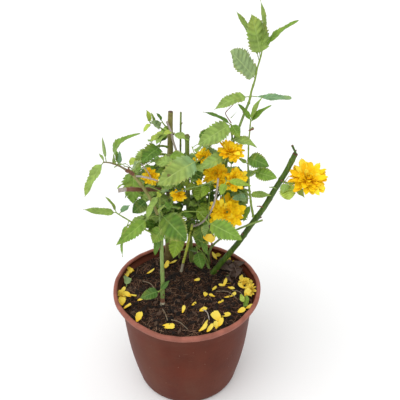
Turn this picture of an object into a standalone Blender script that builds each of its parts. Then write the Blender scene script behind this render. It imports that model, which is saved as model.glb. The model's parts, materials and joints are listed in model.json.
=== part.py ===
"""A potted Japanese kerria: a small shrub of green canes, toothed leaves and double yellow blooms.

The frame is in metres with +Z up. The origin is the centre of the pot's flat underside, and the
plant leans out to both sides of it along X. The plan below is written in millimetres and degrees:
a heading turns from +X towards +Y, and a climb is measured up from level.
"""
from collections import namedtuple
import math
import random

import bmesh
import bpy
from mathutils import Vector
from mathutils.bvhtree import BVHTree

MM = 0.001
PLANT = "kerria"

# Pot and soil
POT_HEIGHT = 155.0
RIM_RADIUS = 100.0
BASE_RADIUS = 70.5
LIP_DEPTH = 12.0
SHOULDER = POT_HEIGHT - LIP_DEPTH
WALL = 2.5
FLOOR = 3.0
FOOT_ROUNDING = 7.0
FLOOR_BEVEL = 6.0
EDGE_BEVEL = 0.8
STEP_BEVEL = 4.0
POT_TAPER_TOP = 93.5
POT_SIDES = 44
DRAIN_HOLES = 6
DRAIN_HOLE_RADIUS = 5.0
DRAIN_RING_RADIUS = 44.0
SOIL_LEVEL = 141.0

# Spacing and the fineness of the solids
GAP = 0.3
LEAF_CLEARANCE = 0.4
STEM_CLEARANCE = 0.1
LIMB_POINTS = 8
STEM_POINTS = 5
FLARE_SHARE = 0.05
FLARE_HEIGHT = 1.5
FLARE = 1.2
PETIOLE_HALF_WIDTH = 0.55
LEAF_HALF_THICKNESS = 0.42
LEAF_SLENDERNESS = 110.0
LEAF_SINK = 0.3
LEAF_FOLD = 0.22
LEAF_ARCH = 0.05
LEAF_OUTLINE = ((0.15, 0.78), (0.42, 1.0), (0.74, 0.58))
LEAF_OUTLINE_PLAIN = ((0.24, 0.92), (0.66, 0.76))
GOLDEN_TURN = 137.5

# The one shoot that springs from the soil beside the right cane
BASAL_SHOOT_FOOT = (31.0, 50.0, SOIL_LEVEL + 2.0 * GAP)

# Seeded sprigs: three leaves on a short twig
SPRIG_LENGTHS = (16.0, 30.0)
SPRIG_CLIMBS = (-10.0, 50.0)
SPRIG_LEAF_LENGTHS = (30.0, 46.0)
SPRIG_LEAF_SHAPE = 0.46
SPRIG_LEAF_TURNS = ((0.45, 55.0), (0.75, -60.0), (1.0, 5.0))
SPRIG_LEAF_CLIMBS = (-35.0, 30.0)
SPRIG_LEAF_ROLL = 30.0
SPRIG_LEAF_BEND = 12.0
SPRIG_LEAF_PETIOLE = 5.0
SPRIG_RADIUS = 0.7
FIRST_SPRIG = 0.30
REACH_CENTRE = 0.6
LEAST_HEIGHT = SOIL_LEVEL + 12.0
STEM_TIP_RADIUS = 0.75
TWIG_TAPER = 0.8

# Blooms: a dome of ruffled petals on a shallow cup
BLOOM_POINTS = 9
BLOOM_HEIGHT = 0.42
BLOOM_CUP = 0.34
BLOOM_STALK_RADIUS = 0.8
BLOOM_BRIM = (1.0, 0.05, 0.24)
BLOOM_RUFFLE = (0.62, BLOOM_HEIGHT, 0.10)

COLOURS = {
    "pot_plastic": (0.20, 0.055, 0.030),
    "soil": (0.035, 0.022, 0.015),
    "cane_green": (0.075, 0.13, 0.025),
    "cane_light": (0.20, 0.29, 0.07),
    "cane_olive": (0.17, 0.14, 0.055),
    "cane_brown": (0.14, 0.085, 0.055),
    "cane_grey": (0.26, 0.21, 0.18),
    "foliage": (0.16, 0.30, 0.05),
}

Limb = namedtuple("Limb", "foot tip bow foot_radius tip_radius colour")
Leaf = namedtuple("Leaf", "share heading climb length width roll petiole")
Bloom = namedtuple("Bloom", "share centre radius heading climb")
Mass = namedtuple("Mass", "limb share tip bow radius reach leaves blooms sprigs seed")


def leaf(share, heading, climb, length, width, roll=0.0, petiole=7.0):
    """One leaf of the plan; the length runs from the twig to the leaf's tip, petiole included."""
    return Leaf(share, heading, climb, length, width, roll, petiole)


def mass(limb, share, tip, bow=(0, 0, 0), radius=1.2, reach=90.0, leaves=(), blooms=(), sprigs=0, seed=1):
    """One mass of the plan: its stem leaves a limb at a share of that limb's length."""
    return Mass(limb, share, tip, bow, radius, reach, leaves, blooms, sprigs, seed)


def limb_plan():
    """The canes that stand in the soil, by foot, tip and how far the middle bows aside."""
    soil = SOIL_LEVEL + GAP
    return {
        "cane_right": Limb((35, 40, soil), (132, 5, 349), (10, 1, 4), 4.0, 3.3, "cane_green"),
        "cane_tall": Limb((22, 62, soil), (76, 34, 402), (-8, 0, 0), 2.2, 1.5, "cane_light"),
        "cane_old": Limb((-29, 69, soil), (-19, 62, 380), (0, 0, 0), 5.8, 3.2, "cane_olive"),
        "cane_slim": Limb((-13, 74, soil), (-6, 60, 380), (0, 0, 0), 1.6, 1.2, "cane_olive"),
        "cane_short": Limb((6, 68, soil), (2, 42, 357), (-2, -2, 0), 3.4, 2.8, "cane_green"),
        "cane_front": Limb((-32, -26, soil), (-32, -4, 283), (1, 1, 0), 2.9, 2.0, "cane_light"),
        "cane_yellow": Limb((-9, 46, soil), (8, 24, 237), (0, 0, 0), 1.8, 1.6, "cane_light"),
        "cane_slim_right": Limb((34, 62, soil), (98, 8, 253), (-26, 4, 0), 1.5, 1.3, "cane_olive"),
    }


def bough_plan():
    """The boughs: the limb and share they leave from, then tip, bow, radii and colour."""
    return {
        "bough_cut": ("cane_old", 0.53, Limb(None, (-79, -22, 314), (0, -18, 12), 2.9, 2.5, "cane_brown")),
        "bough_left": ("cane_front", 0.93, Limb(None, (-62, -10, 329), (3, 0, 0), 2.1, 1.8, "cane_olive")),
        "twig_dead": ("bough_left", 0.93, Limb(None, (-33, -9, 320), (0, 0, 1), 1.3, 1.0, "cane_grey")),
        "twig_grey": ("cane_yellow", 0.985, Limb(None, (40, 0, 318), (6, -4, -11), 1.4, 1.2, "cane_grey")),
        "stub_top": ("cane_right", 1.0, Limb(None, (127.5, 6, 359.5), (0, 0, 0), 1.1, 1.5, "cane_green")),
    }


def mass_plan():
    """The masses of foliage, those in front leaf by leaf and the inner and rear ones by sprigs."""
    return {
        "crown_top": mass("cane_tall", 1.0, (88, 26, 469), radius=1.4, leaves=(
            leaf(0.12, -161, -12, 47, 17, -25), leaf(0.13, -13, 2, 48, 12, 14, 8),
            leaf(0.47, -160, 46, 46, 27, -62, 3), leaf(0.78, 160, 61, 60, 15, -10),
            leaf(0.84, -165, 76, 50, 27, -85), leaf(0.97, -19, 45, 52, 12, 25, 8),
            leaf(0.98, -155, 85, 54, 11, -60, 3))),
        "side_shoot": mass("cane_right", 0.49, (79, 27, 385), (-5, -2, 0), 1.5, leaves=(
            leaf(0.20, -159, 12, 27, 13, -30), leaf(0.24, -30, 13, 31, 10, 40, 2),
            leaf(0.14, -155, -68, 27, 8, -20, 4), leaf(0.43, -50, 42, 21, 9, 30, 4),
            leaf(0.50, -27, -3, 38, 17, 50, 10), leaf(0.56, 140, 13, 16, 6, -20, 3),
            leaf(0.63, -31, -8, 29, 19, 52, 1), leaf(0.90, -21, 32, 6, 4, 30, 2),
            leaf(0.98, 156, 48, 26, 8, -20, 2), leaf(0.99, -38, 66, 36, 8, 65, 2),
            leaf(0.97, -22, 46, 34, 9, 40, 2))),
        "right_bloom": mass("cane_right", 0.80, (141, 3, 315), (0, -3, -2), 1.3, leaves=(
            leaf(0.10, -75, -38, 23, 20, 30, 3), leaf(0.45, -29, -40, 24, 10, 25, 6),
            leaf(0.25, -120, -20, 16, 12, 10, 3)), blooms=(
            Bloom(1.0, (151, 0, 321), 23, -82, 62),)),
        "left_tip": mass("bough_left", 1.0, (-94, -20, 350), (-2, 0, 5), 1.5, leaves=(
            leaf(0.99, -149, -55, 47, 16, -10, 3), leaf(0.86, -101, 84, 34, 4, 30, 6),
            leaf(0.95, -134, 67, 15, 4, 30, 3), leaf(0.48, -26, 54, 57, 16, 38, 2),
            leaf(0.42, 118, 48, 22, 10, 40, 3), leaf(0.40, 90, 55, 18, 6, 40, 3))),
        "left_leaves": mass("cane_old", 0.80, (-65, 30, 314), (0, 0, 12), 1.4, leaves=(
            leaf(0.16, -122, -6, 46, 22, -24), leaf(0.48, -122, -20, 36, 20, -20, 5),
            leaf(0.75, -124, 0, 24, 17, 10), leaf(0.98, -104, -70, 45, 27, 0, 4)), blooms=(
            Bloom(0.70, (-43, 6, 317), 11.5, -100, 10),), sprigs=2, seed=11),
        "upper_left": mass("cane_old", 0.88, (-45, 50, 371), (0, 0, 2), 1.1, leaves=(
            leaf(0.05, -144, -16, 26, 15, 10, 4), leaf(0.12, -115, -21, 25, 10, 0),
            leaf(0.35, -124, 39, 25, 11, -75, 3), leaf(0.70, -154, 75, 17, 5, -60, 2),
            leaf(0.88, -131, -28, 17, 7, -5, 3), leaf(0.98, -127, 74, 19, 8, -95, 2),
            leaf(0.60, 150, 20, 14, 5, 40, 2))),
        "front_left": mass("cane_front", 1.0, (-30, -13, 308), radius=1.6, leaves=(
            leaf(0.90, -145, -57, 39, 12, 0), leaf(0.95, -51, 25, 21, 6, 30, 4),
            leaf(0.92, -100, 5, 16, 7, -30, 3)), sprigs=2, seed=3),
        "left_hanging": mass("bough_cut", 0.58, (-48, 2, 287), radius=0.9, leaves=(
            leaf(0.97, -135, -24, 25, 18, -45, 3),)),
        "lower_left": mass("cane_front", 0.70, (-84, -24, 285), (-4, -2, 3), 1.2, leaves=(
            leaf(0.62, -150, -74, 52, 10, 0), leaf(0.98, -157, 20, 41, 11, -28, 3),
            leaf(0.97, -150, 66, 29, 6, -40, 4), leaf(0.90, 38, 22, 18, 9, 10, 4))),
        "centre_front": mass("cane_short", 0.74, (14, 2, 341), radius=1.3, leaves=(
            leaf(1.0, -146, -16, 57, 29, -40, 3),), blooms=(
            Bloom(0.85, (24, 34, 331), 11, -80, 30), Bloom(0.12, (-9, -2, 294), 10, -95, -10)),
            sprigs=2, seed=5),
        "centre_top": mass("cane_tall", 0.81, (56, 36, 374), radius=1.2, leaves=(
            leaf(1.0, -150, -20, 49, 23, -52, 4), leaf(0.98, 173, 24, 38, 8, -12, 4),
            leaf(0.04, -47, 4, 41, 14, 20, 3), leaf(1.0, -44, -44, 20, 13, 35, 2)), blooms=(
            Bloom(0.20, (56, 17, 349), 16.5, -70, 70),)),
        "centre_leaf": mass("cane_tall", 0.72, (54, 25, 341), radius=0.9, leaves=(
            leaf(0.97, -151, -18, 46, 17, -30, 4),)),
        "centre_blooms": mass("cane_tall", 0.60, (45, 14, 300), radius=1.4, blooms=(
            Bloom(0.95, (53, 13, 262), 22.5, -88, 30), Bloom(0.90, (38, 22, 315), 12.5, -95, 44),
            Bloom(0.70, (62, 12, 309), 17, -60, 14), Bloom(0.60, (48, 12, 302), 9, -70, -30)),
            sprigs=2, seed=8),
        "green_twig": mass("cane_short", 0.66, (35, 8, 308), (0, 0, -2), 1.1, leaves=(
            leaf(0.15, -37, -35, 27, 18, 40, 3), leaf(0.55, -115, -45, 22, 15, -10, 3),
            leaf(0.80, -122, -32, 20, 12, -20, 3), leaf(0.65, -70, 30, 22, 14, 10, 3),
            leaf(0.25, 80, 50, 26, 17, 0, 3), leaf(0.35, -130, 10, 24, 13, -30, 3))),
        "front_low": mass("cane_front", 0.80, (-2, -8, 276), (0, 0, 2), 1.3, leaves=(
            leaf(0.75, 20, -20, 20, 12, 20, 3),), sprigs=1, seed=13),
        "right_low": mass("cane_tall", 0.37, (28, -12, 262), radius=1.3, leaves=(
            leaf(0.98, -29, -13, 48, 24, 40, 4), leaf(0.97, 141, -75, 25, 12, 30, 3),
            leaf(0.50, -110, -72, 34, 15, 10, 4), leaf(0.99, -40, -62, 20, 4, 30, 3)), sprigs=2, seed=21),
        "basal_shoot": mass(None, 0.0, (12, 46, 186), (5, 0, 0), 1.2, leaves=(
            leaf(0.97, -72, -44, 32, 17, 22, 9), leaf(0.70, 170, 5, 30, 13, 10))),
        "foot_leaves": mass("cane_front", 0.17, (-36, -33, 169), radius=0.9, leaves=(
            leaf(0.60, -155, -5, 28, 15, -30, 3), leaf(0.50, 35, 36, 18, 7, 40, 3))),
        "low_left": mass("cane_old", 0.36, (-8, -2, 240), radius=1.3, leaves=(
            leaf(0.98, -135, -70, 36, 19, -35, 3), leaf(0.55, -136, -54, 28, 12, -20),
            leaf(0.80, -60, -70, 30, 14, 20, 3)), sprigs=4, seed=17),
        "low_right": mass("cane_short", 0.42, (12, 34, 240), radius=1.2, leaves=(
            leaf(0.98, -26, -74, 36, 15, 25, 5), leaf(0.95, -60, 38, 24, 12, 20, 3)), sprigs=3, seed=19),
        "back_left": mass("cane_old", 0.42, (-52, 100, 262), (0, 0, 6), 1.5, 62.0, blooms=(
            Bloom(0.95, (-54, 108, 250), 11, 110, 20),), sprigs=5, seed=23),
        "back_middle": mass("cane_slim", 0.55, (-4, 104, 286), (0, 0, 6), 1.3, 62.0, blooms=(
            Bloom(0.98, (-4, 112, 272), 14, 85, 25),), sprigs=5, seed=29),
        "back_right": mass("cane_tall", 0.45, (66, 88, 262), (0, 0, 6), 1.3, 62.0, blooms=(
            Bloom(0.95, (60, 100, 256), 12, 60, 20),), sprigs=5, seed=31),
    }


def remove_everything():
    """Empties the scene, so that only this plant is in it."""
    for thing in list(bpy.data.objects):
        bpy.data.objects.remove(thing, do_unlink=True)


def named_collection(name):
    """A collection of the scene by that name."""
    collection = bpy.data.collections.new(name)
    bpy.context.scene.collection.children.link(collection)
    return collection


def material(name, roughness=0.6):
    """The Principled material of that name, made the first time that it is asked for."""
    found = bpy.data.materials.get(name)
    if found:
        return found
    made = bpy.data.materials.new(name)
    made.use_nodes = True
    shader = made.node_tree.nodes["Principled BSDF"]
    shader.inputs["Base Color"].default_value = (*COLOURS[name], 1.0)
    shader.inputs["Roughness"].default_value = roughness
    shader.inputs["Metallic"].default_value = 0.0
    return made


def turned(name, profile, colour, parts):
    """A turned solid: a profile of radius and height in mm, spun about the Z axis."""
    mesh = bpy.data.meshes.new(name)
    points = [(radius * MM, 0.0, height * MM) for radius, height in profile]
    edges = [(i, i + 1) for i in range(len(points) - 1)]
    mesh.from_pydata(points, edges, [])
    thing = bpy.data.objects.new(name, mesh)
    parts.objects.link(thing)
    screw = thing.modifiers.new("Turn", "SCREW")
    screw.axis = "Z"
    screw.steps = POT_SIDES
    screw.render_steps = POT_SIDES
    screw.use_merge_vertices = True
    screw.merge_threshold = 0.00005
    screw.use_smooth_shade = True
    mesh.materials.append(material(colour, 0.5))
    return thing


def outer_radius(height):
    """The pot's outer radius below its lip at a height."""
    share = (height - FOOT_ROUNDING) / (SHOULDER - FOOT_ROUNDING)
    return BASE_RADIUS + (POT_TAPER_TOP - BASE_RADIUS) * share


def inner_radius(height):
    """The pot's inner radius at a height: parallel to the outside, and wider inside the lip."""
    widening = min(1.0, max(0.0, (height - SHOULDER + EDGE_BEVEL) / STEP_BEVEL))
    return (1.0 - widening) * (outer_radius(height) - WALL) + widening * (RIM_RADIUS - WALL)


def round_bar(radius, length):
    """The mesh of a closed round bar along Z, centred on its middle."""
    bar = bmesh.new()
    bmesh.ops.create_cone(
        bar, cap_ends=True, segments=12, radius1=radius, radius2=radius, depth=length)
    mesh = bpy.data.meshes.new("round_bar")
    bar.to_mesh(mesh)
    bar.free()
    return mesh


def build_pot(parts, cutters):
    """A tapered nursery pot with a collar at its rim, a rounded foot and drain holes."""
    edge = EDGE_BEVEL
    step_foot = SHOULDER - edge
    inside_heights = (FLOOR + FLOOR_BEVEL, step_foot, step_foot + STEP_BEVEL, POT_HEIGHT - edge)
    profile = [(0.0, FLOOR), (inner_radius(FLOOR) - FLOOR_BEVEL, FLOOR)]
    profile += [(inner_radius(height), height) for height in inside_heights]
    profile += [(RIM_RADIUS - WALL + edge, POT_HEIGHT), (RIM_RADIUS - edge, POT_HEIGHT)]
    profile += [(RIM_RADIUS, POT_HEIGHT - edge), (RIM_RADIUS - edge, SHOULDER + edge)]
    profile += [(RIM_RADIUS - 2.0 * edge, SHOULDER), (POT_TAPER_TOP, SHOULDER - edge)]
    for step in range(4):
        turn = math.radians(30.0 * step)
        inset = FOOT_ROUNDING * (1.0 - math.cos(turn))
        profile.append((BASE_RADIUS - inset, FOOT_ROUNDING * (1.0 - math.sin(turn))))
    profile.append((0.0, 0.0))
    pot = turned("pot", profile, "pot_plastic", parts)
    for index in range(DRAIN_HOLES):
        turn = 2.0 * math.pi * (index + 0.5) / DRAIN_HOLES
        spoke = Vector((math.cos(turn), math.sin(turn), 0.0))
        bar = round_bar(DRAIN_HOLE_RADIUS * MM, 4.0 * FLOOR * MM)
        drill = bpy.data.objects.new(f"drain_drill_{index}", bar)
        drill.location = spoke * DRAIN_RING_RADIUS * MM
        drill.hide_render = True
        drill.display_type = "WIRE"
        cutters.objects.link(drill)
    cut = pot.modifiers.new("Drain holes", "BOOLEAN")
    cut.operation = "DIFFERENCE"
    cut.operand_type = "COLLECTION"
    cut.collection = cutters
    return pot


def build_soil(parts):
    """The potting soil, which fills the pot to a finger's width under the rim."""
    bottom = FLOOR + GAP
    side = [(inner_radius(height) - GAP, height) for height in (SOIL_LEVEL, bottom + FLOOR_BEVEL)]
    foot = (inner_radius(FLOOR) - FLOOR_BEVEL - 2.0 * GAP, bottom)
    return turned("soil", [(0.0, SOIL_LEVEL), *side, foot, (0.0, bottom)], "soil", parts)


def path_point(limb, share):
    """The place on a limb's middle line at a share of its length, in mm."""
    foot, tip, bow = Vector(limb.foot), Vector(limb.tip), Vector(limb.bow)
    return foot.lerp(tip, share) + bow * (4.0 * share * (1.0 - share))


def path_axis(limb, share):
    """The direction in which a limb runs at a share of its length."""
    slope = Vector(limb.tip) - Vector(limb.foot) + Vector(limb.bow) * (4.0 - 8.0 * share)
    return slope.normalized()


def path_radius(limb, share):
    """A limb's radius at a share of its length."""
    return limb.foot_radius + (limb.tip_radius - limb.foot_radius) * share


def seat(limb, share, towards, radius):
    """The place just clear of a limb's bark, or of its cut tip, where a stem towards a place starts."""
    axis = path_axis(limb, share)
    middle = path_point(limb, share)
    way = (Vector(towards) - middle).normalized()
    along = way.dot(axis)
    if share >= 1.0:
        return middle + axis * (GAP + radius * math.sqrt(max(0.0, 1.0 - along * along)))
    aside = (way - axis * along).normalized()
    return middle + aside * (path_radius(limb, share) + GAP + radius * abs(along))


def direction(heading, climb):
    """The unit vector of a heading and a climb in degrees."""
    turn, rise = math.radians(heading), math.radians(climb)
    return Vector((math.cos(rise) * math.cos(turn), math.cos(rise) * math.sin(turn), math.sin(rise)))


def tube(name, points, radii, resolution, colour, collection):
    """A tapering round curve through points in mm, with filled ends."""
    curve = bpy.data.curves.new(name, "CURVE")
    curve.dimensions = "3D"
    curve.bevel_depth = 1.0 * MM
    curve.bevel_resolution = resolution
    curve.use_fill_caps = True
    spline = curve.splines.new("POLY")
    spline.points.add(len(points) - 1)
    for point, place, radius in zip(spline.points, points, radii):
        point.co = (*(Vector(place) * MM), 1.0)
        point.radius = radius
    curve.materials.append(material(colour))
    thing = bpy.data.objects.new(name, curve)
    collection.objects.link(thing)
    return thing


def build_limb(name, limb, parts):
    """A cane or bough as one tapering tube; a cane's foot is flared and cut level with the soil."""
    bowed = Vector(limb.bow).length > 2.0
    steps = LIMB_POINTS if bowed else 3
    shares = [0.0, *(i / steps for i in range(1, steps + 1))]
    points = [path_point(limb, s) for s in shares]
    radii = [path_radius(limb, s) for s in shares]
    if abs(points[0].z - SOIL_LEVEL - GAP) < GAP:
        points[1:1] = [points[0] + Vector((0, 0, FLARE_HEIGHT)), path_point(limb, FLARE_SHARE)]
        radii[0:1] = [radii[0] * FLARE, radii[0] * FLARE, radii[0]]
    return tube(name, points, radii, 2, limb.colour, parts)


def as_mesh(thing, collection):
    """A closed mesh object in the place of a curve, with its caps welded."""
    bpy.context.view_layer.update()
    graph = bpy.context.evaluated_depsgraph_get()
    mesh = bpy.data.meshes.new_from_object(thing.evaluated_get(graph))
    welded = bmesh.new()
    welded.from_mesh(mesh)
    bmesh.ops.remove_doubles(welded, verts=welded.verts, dist=0.00001)
    bmesh.ops.recalc_face_normals(welded, faces=welded.faces)
    welded.to_mesh(mesh)
    welded.free()
    made = bpy.data.objects.new(thing.name + "_mesh", mesh)
    made.matrix_world = thing.matrix_world
    collection.objects.link(made)
    bpy.data.objects.remove(thing, do_unlink=True)
    return made


def leaf_frame(heading, climb, roll):
    """A leaf's three directions: along its rib, across its blade, and out of its upper face."""
    along = direction(heading, climb)
    turn = math.radians(heading)
    level = Vector((-math.sin(turn), math.cos(turn), 0.0))
    up = along.cross(level)
    lean = math.radians(roll)
    across = level * math.cos(lean) + up * math.sin(lean)
    return along, across, up * math.cos(lean) - level * math.sin(lean)


def leaf_mesh(base, plan, collection, fine=True):
    """A leaf with its petiole: a loft of folded sections from a blunt root to a sharp tip."""
    along, across, out = leaf_frame(plan.heading, plan.climb, plan.roll)
    thickness = max(LEAF_HALF_THICKNESS, plan.length / LEAF_SLENDERNESS)
    neck = plan.petiole / plan.length
    blade = 1.0 - neck
    half = plan.width / 2.0
    outline = LEAF_OUTLINE if fine else LEAF_OUTLINE_PLAIN
    root = -LEAF_SINK / plan.length
    sections = [(root, PETIOLE_HALF_WIDTH * TWIG_TAPER, 0.0), (neck, PETIOLE_HALF_WIDTH, 0.0)]
    sections += [(neck + share * blade, half * width, LEAF_FOLD) for share, width in outline]
    made = bmesh.new()
    rings = []
    for share, width, fold in sections:
        arch = LEAF_ARCH * plan.length * 4.0 * share * (1.0 - share)
        middle = base + along * (share * plan.length) + out * arch
        lift = out * (fold * width)
        ring = (middle + across * width + lift, middle + out * thickness,
                middle - across * width + lift, middle - out * thickness)
        rings.append([made.verts.new(place * MM) for place in ring])
    tip = made.verts.new((base + along * plan.length) * MM)
    made.faces.new(rings[0])
    for lower, upper in zip(rings, rings[1:]):
        for i in range(4):
            made.faces.new((lower[i], lower[i - 3], upper[i - 3], upper[i]))
    for i in range(4):
        made.faces.new((rings[-1][i], rings[-1][i - 3], tip))
    bmesh.ops.triangulate(made, faces=made.faces)
    bmesh.ops.recalc_face_normals(made, faces=made.faces)
    mesh = bpy.data.meshes.new("leaf")
    made.to_mesh(mesh)
    made.free()
    thing = bpy.data.objects.new("leaf", mesh)
    collection.objects.link(thing)
    return thing


def bloom_mesh(plan, collection):
    """A double bloom: a pointed ruffle of petals, domed above and cupped below."""
    along, across, out = leaf_frame(plan.heading, plan.climb, 0.0)
    centre = Vector(plan.centre)
    dice = random.Random(round(plan.radius * 10) + plan.heading)
    made = bmesh.new()

    def ring(radius, height, ripple):
        places = []
        for i in range(2 * BLOOM_POINTS):
            turn = math.pi * i / BLOOM_POINTS
            reach = plan.radius * radius * (1.0 - ripple * (i % 2)) * dice.uniform(0.94, 1.0)
            rise = plan.radius * height * dice.uniform(0.7, 1.2)
            spoke = across * math.cos(turn) + out * math.sin(turn)
            places.append(made.verts.new((centre + spoke * reach + along * rise) * MM))
        return places

    outer = ring(*BLOOM_BRIM)
    inner = ring(*BLOOM_RUFFLE)
    crest = made.verts.new((centre + along * plan.radius * BLOOM_HEIGHT * 1.25) * MM)
    cup = made.verts.new((centre - along * plan.radius * BLOOM_CUP) * MM)
    count = len(outer)
    for i in range(count):
        j = (i + 1) % count
        made.faces.new((outer[i], outer[j], inner[j], inner[i]))
        made.faces.new((inner[i], inner[j], crest))
        made.faces.new((outer[j], outer[i], cup))
    bmesh.ops.triangulate(made, faces=made.faces)
    bmesh.ops.recalc_face_normals(made, faces=made.faces)
    mesh = bpy.data.meshes.new("bloom")
    made.to_mesh(mesh)
    made.free()
    thing = bpy.data.objects.new("bloom", mesh)
    collection.objects.link(thing)
    return thing


def surface_tree(thing, swell=0.0):
    """A search tree of an object's surface in the world, moved out by a clearance in mm."""
    bpy.context.view_layer.update()
    graph = bpy.context.evaluated_depsgraph_get()
    seen = thing.evaluated_get(graph)
    shape = bmesh.new()
    mesh = seen.to_mesh()
    shape.from_mesh(mesh)
    seen.to_mesh_clear()
    bmesh.ops.triangulate(shape, faces=shape.faces)
    shape.normal_update()
    for vertex in shape.verts:
        vertex.co += vertex.normal * swell * MM
    tree = BVHTree.FromBMesh(shape)
    shape.free()
    return tree


def kept(thing, name, trees, loose, clearance=LEAF_CLEARANCE):
    """Adds a twig, leaf or bloom to its mass, unless it would touch another node: then it goes."""
    swollen = surface_tree(thing, clearance)
    touched = [other for other, shapes in trees.items()
               if other != name and any(swollen.overlap(shape) for shape in shapes)]
    if touched:
        print(f"{name}: a piece is left out to stay clear of {touched}")
        bpy.data.objects.remove(thing, do_unlink=True)
        return False
    trees.setdefault(name, []).append(surface_tree(thing))
    loose.append(thing)
    return True


def stalk(start, end, radius, collection):
    """A short twig between two places, as a closed mesh."""
    line = tube("stalk", (start, end), (radius, radius * TWIG_TAPER), 0, "foliage", collection)
    return as_mesh(line, collection)


def sprig_leaves(start, end, dice):
    """The three leaves of a sprig: one each side of its middle, and one that ends it."""
    way = end - start
    heading = math.degrees(math.atan2(way.y, way.x))
    for share, turn in SPRIG_LEAF_TURNS:
        length = dice.uniform(*SPRIG_LEAF_LENGTHS) * (0.8 + 0.2 * share)
        climb = dice.uniform(*SPRIG_LEAF_CLIMBS)
        roll = dice.uniform(-SPRIG_LEAF_ROLL, SPRIG_LEAF_ROLL)
        bend = dice.uniform(-SPRIG_LEAF_BEND, SPRIG_LEAF_BEND)
        width = SPRIG_LEAF_SHAPE * length
        yield Leaf(share, heading + turn + bend, climb, length, width, roll, SPRIG_LEAF_PETIOLE)


def add_sprigs(name, plan, stem, trees, loose, bench):
    """The seeded sprigs of a mass, each turned on from the last, within the mass's own reach."""
    dice = random.Random(plan.seed)
    middle = path_point(stem, REACH_CENTRE)
    for index in range(plan.sprigs):
        share = FIRST_SPRIG + (1.0 - FIRST_SPRIG) * (index + 1) / plan.sprigs
        start = path_point(stem, min(share, 0.99))
        way = direction(GOLDEN_TURN * (index + plan.seed), dice.uniform(*SPRIG_CLIMBS))
        end = start + way * dice.uniform(*SPRIG_LENGTHS)
        leaves = list(sprig_leaves(start, end, dice))
        if not kept(stalk(start, end, SPRIG_RADIUS, bench), name, trees, loose):
            continue
        for one in leaves:
            base = start.lerp(end, min(one.share, 0.97))
            tip = base + direction(one.heading, one.climb) * one.length
            if (tip - middle).length < plan.reach and tip.z > LEAST_HEIGHT:
                kept(leaf_mesh(base, one, bench, fine=False), name, trees, loose)


def closed(mesh):
    """Whether every edge of a mesh has two faces."""
    shape = bmesh.new()
    shape.from_mesh(mesh)
    whole = len(shape.edges) > 0 and all(len(edge.link_faces) == 2 for edge in shape.edges)
    shape.free()
    return whole


def main_body(mesh):
    """Keeps the largest shell of a mesh, without loose scraps or the walls of sealed hollows."""
    shape = bmesh.new()
    shape.from_mesh(mesh)
    waiting = set(shape.verts)
    shells = []
    while waiting:
        front = [waiting.pop()]
        shell = set(front)
        while front:
            for edge in front.pop().link_edges:
                for vertex in edge.verts:
                    if vertex in waiting:
                        waiting.discard(vertex)
                        shell.add(vertex)
                        front.append(vertex)
        shells.append(shell)
    shells.sort(key=len)
    for shell in shells[:-1]:
        bmesh.ops.delete(shape, geom=list(shell), context="VERTS")
    bmesh.ops.triangulate(shape, faces=shape.faces)
    shape.to_mesh(mesh)
    shape.free()


def fuse(name, loose, parts):
    """One solid from a mass's stem, twigs, leaves and blooms, by a Boolean union."""
    stem = loose[0]
    pen = named_collection("pen")
    for thing in loose[1:]:
        pen.objects.link(thing)
    for solver in ("EXACT", "MANIFOLD"):
        join = stem.modifiers.new("Join", "BOOLEAN")
        join.operation = "UNION"
        join.operand_type = "COLLECTION"
        join.collection = pen
        join.solver = solver
        bpy.context.view_layer.update()
        graph = bpy.context.evaluated_depsgraph_get()
        mesh = bpy.data.meshes.new_from_object(stem.evaluated_get(graph))
        stem.modifiers.remove(join)
        main_body(mesh)
        if closed(mesh):
            break
    for thing in loose:
        bpy.data.objects.remove(thing, do_unlink=True)
    bpy.data.collections.remove(pen)
    mesh.name = name
    mesh.materials.clear()
    mesh.materials.append(material("foliage"))
    parts.objects.link(bpy.data.objects.new(name, mesh))


def mass_stem(plan, limbs):
    """The main stem of a mass, from its seat on the limb that carries it to its tip."""
    if plan.limb:
        onward = Vector(plan.tip) + Vector(plan.bow) * 4.0
        foot = seat(limbs[plan.limb], plan.share, onward, plan.radius)
    else:
        foot = Vector(BASAL_SHOOT_FOOT)
    return Limb(foot, plan.tip, plan.bow, plan.radius, STEM_TIP_RADIUS, "foliage")


def build_planned(name, plan, stem, trees, bench):
    """The stem, blooms and planned leaves of a mass, as loose pieces."""
    shares = [i / (STEM_POINTS - 1) for i in range(STEM_POINTS)]
    line = tube(name + "_stem", [path_point(stem, s) for s in shares],
                [path_radius(stem, s) for s in shares], 0, "foliage", bench)
    loose = []
    if not kept(as_mesh(line, bench), name, trees, loose, STEM_CLEARANCE):
        print(f"{name}: its stem would touch a neighbour")
        return loose
    for one in plan.blooms:
        start = path_point(stem, min(one.share, 0.98))
        joined = kept(stalk(start, Vector(one.centre), BLOOM_STALK_RADIUS, bench), name, trees, loose)
        if not joined or not kept(bloom_mesh(one, bench), name, trees, loose):
            print(f"{name}: the bloom at {one.centre} is left out")
    for one in plan.leaves:
        if not kept(leaf_mesh(path_point(stem, one.share), one, bench), name, trees, loose):
            print(f"{name}: the leaf at {one.share} is left out")
    return loose


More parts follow.
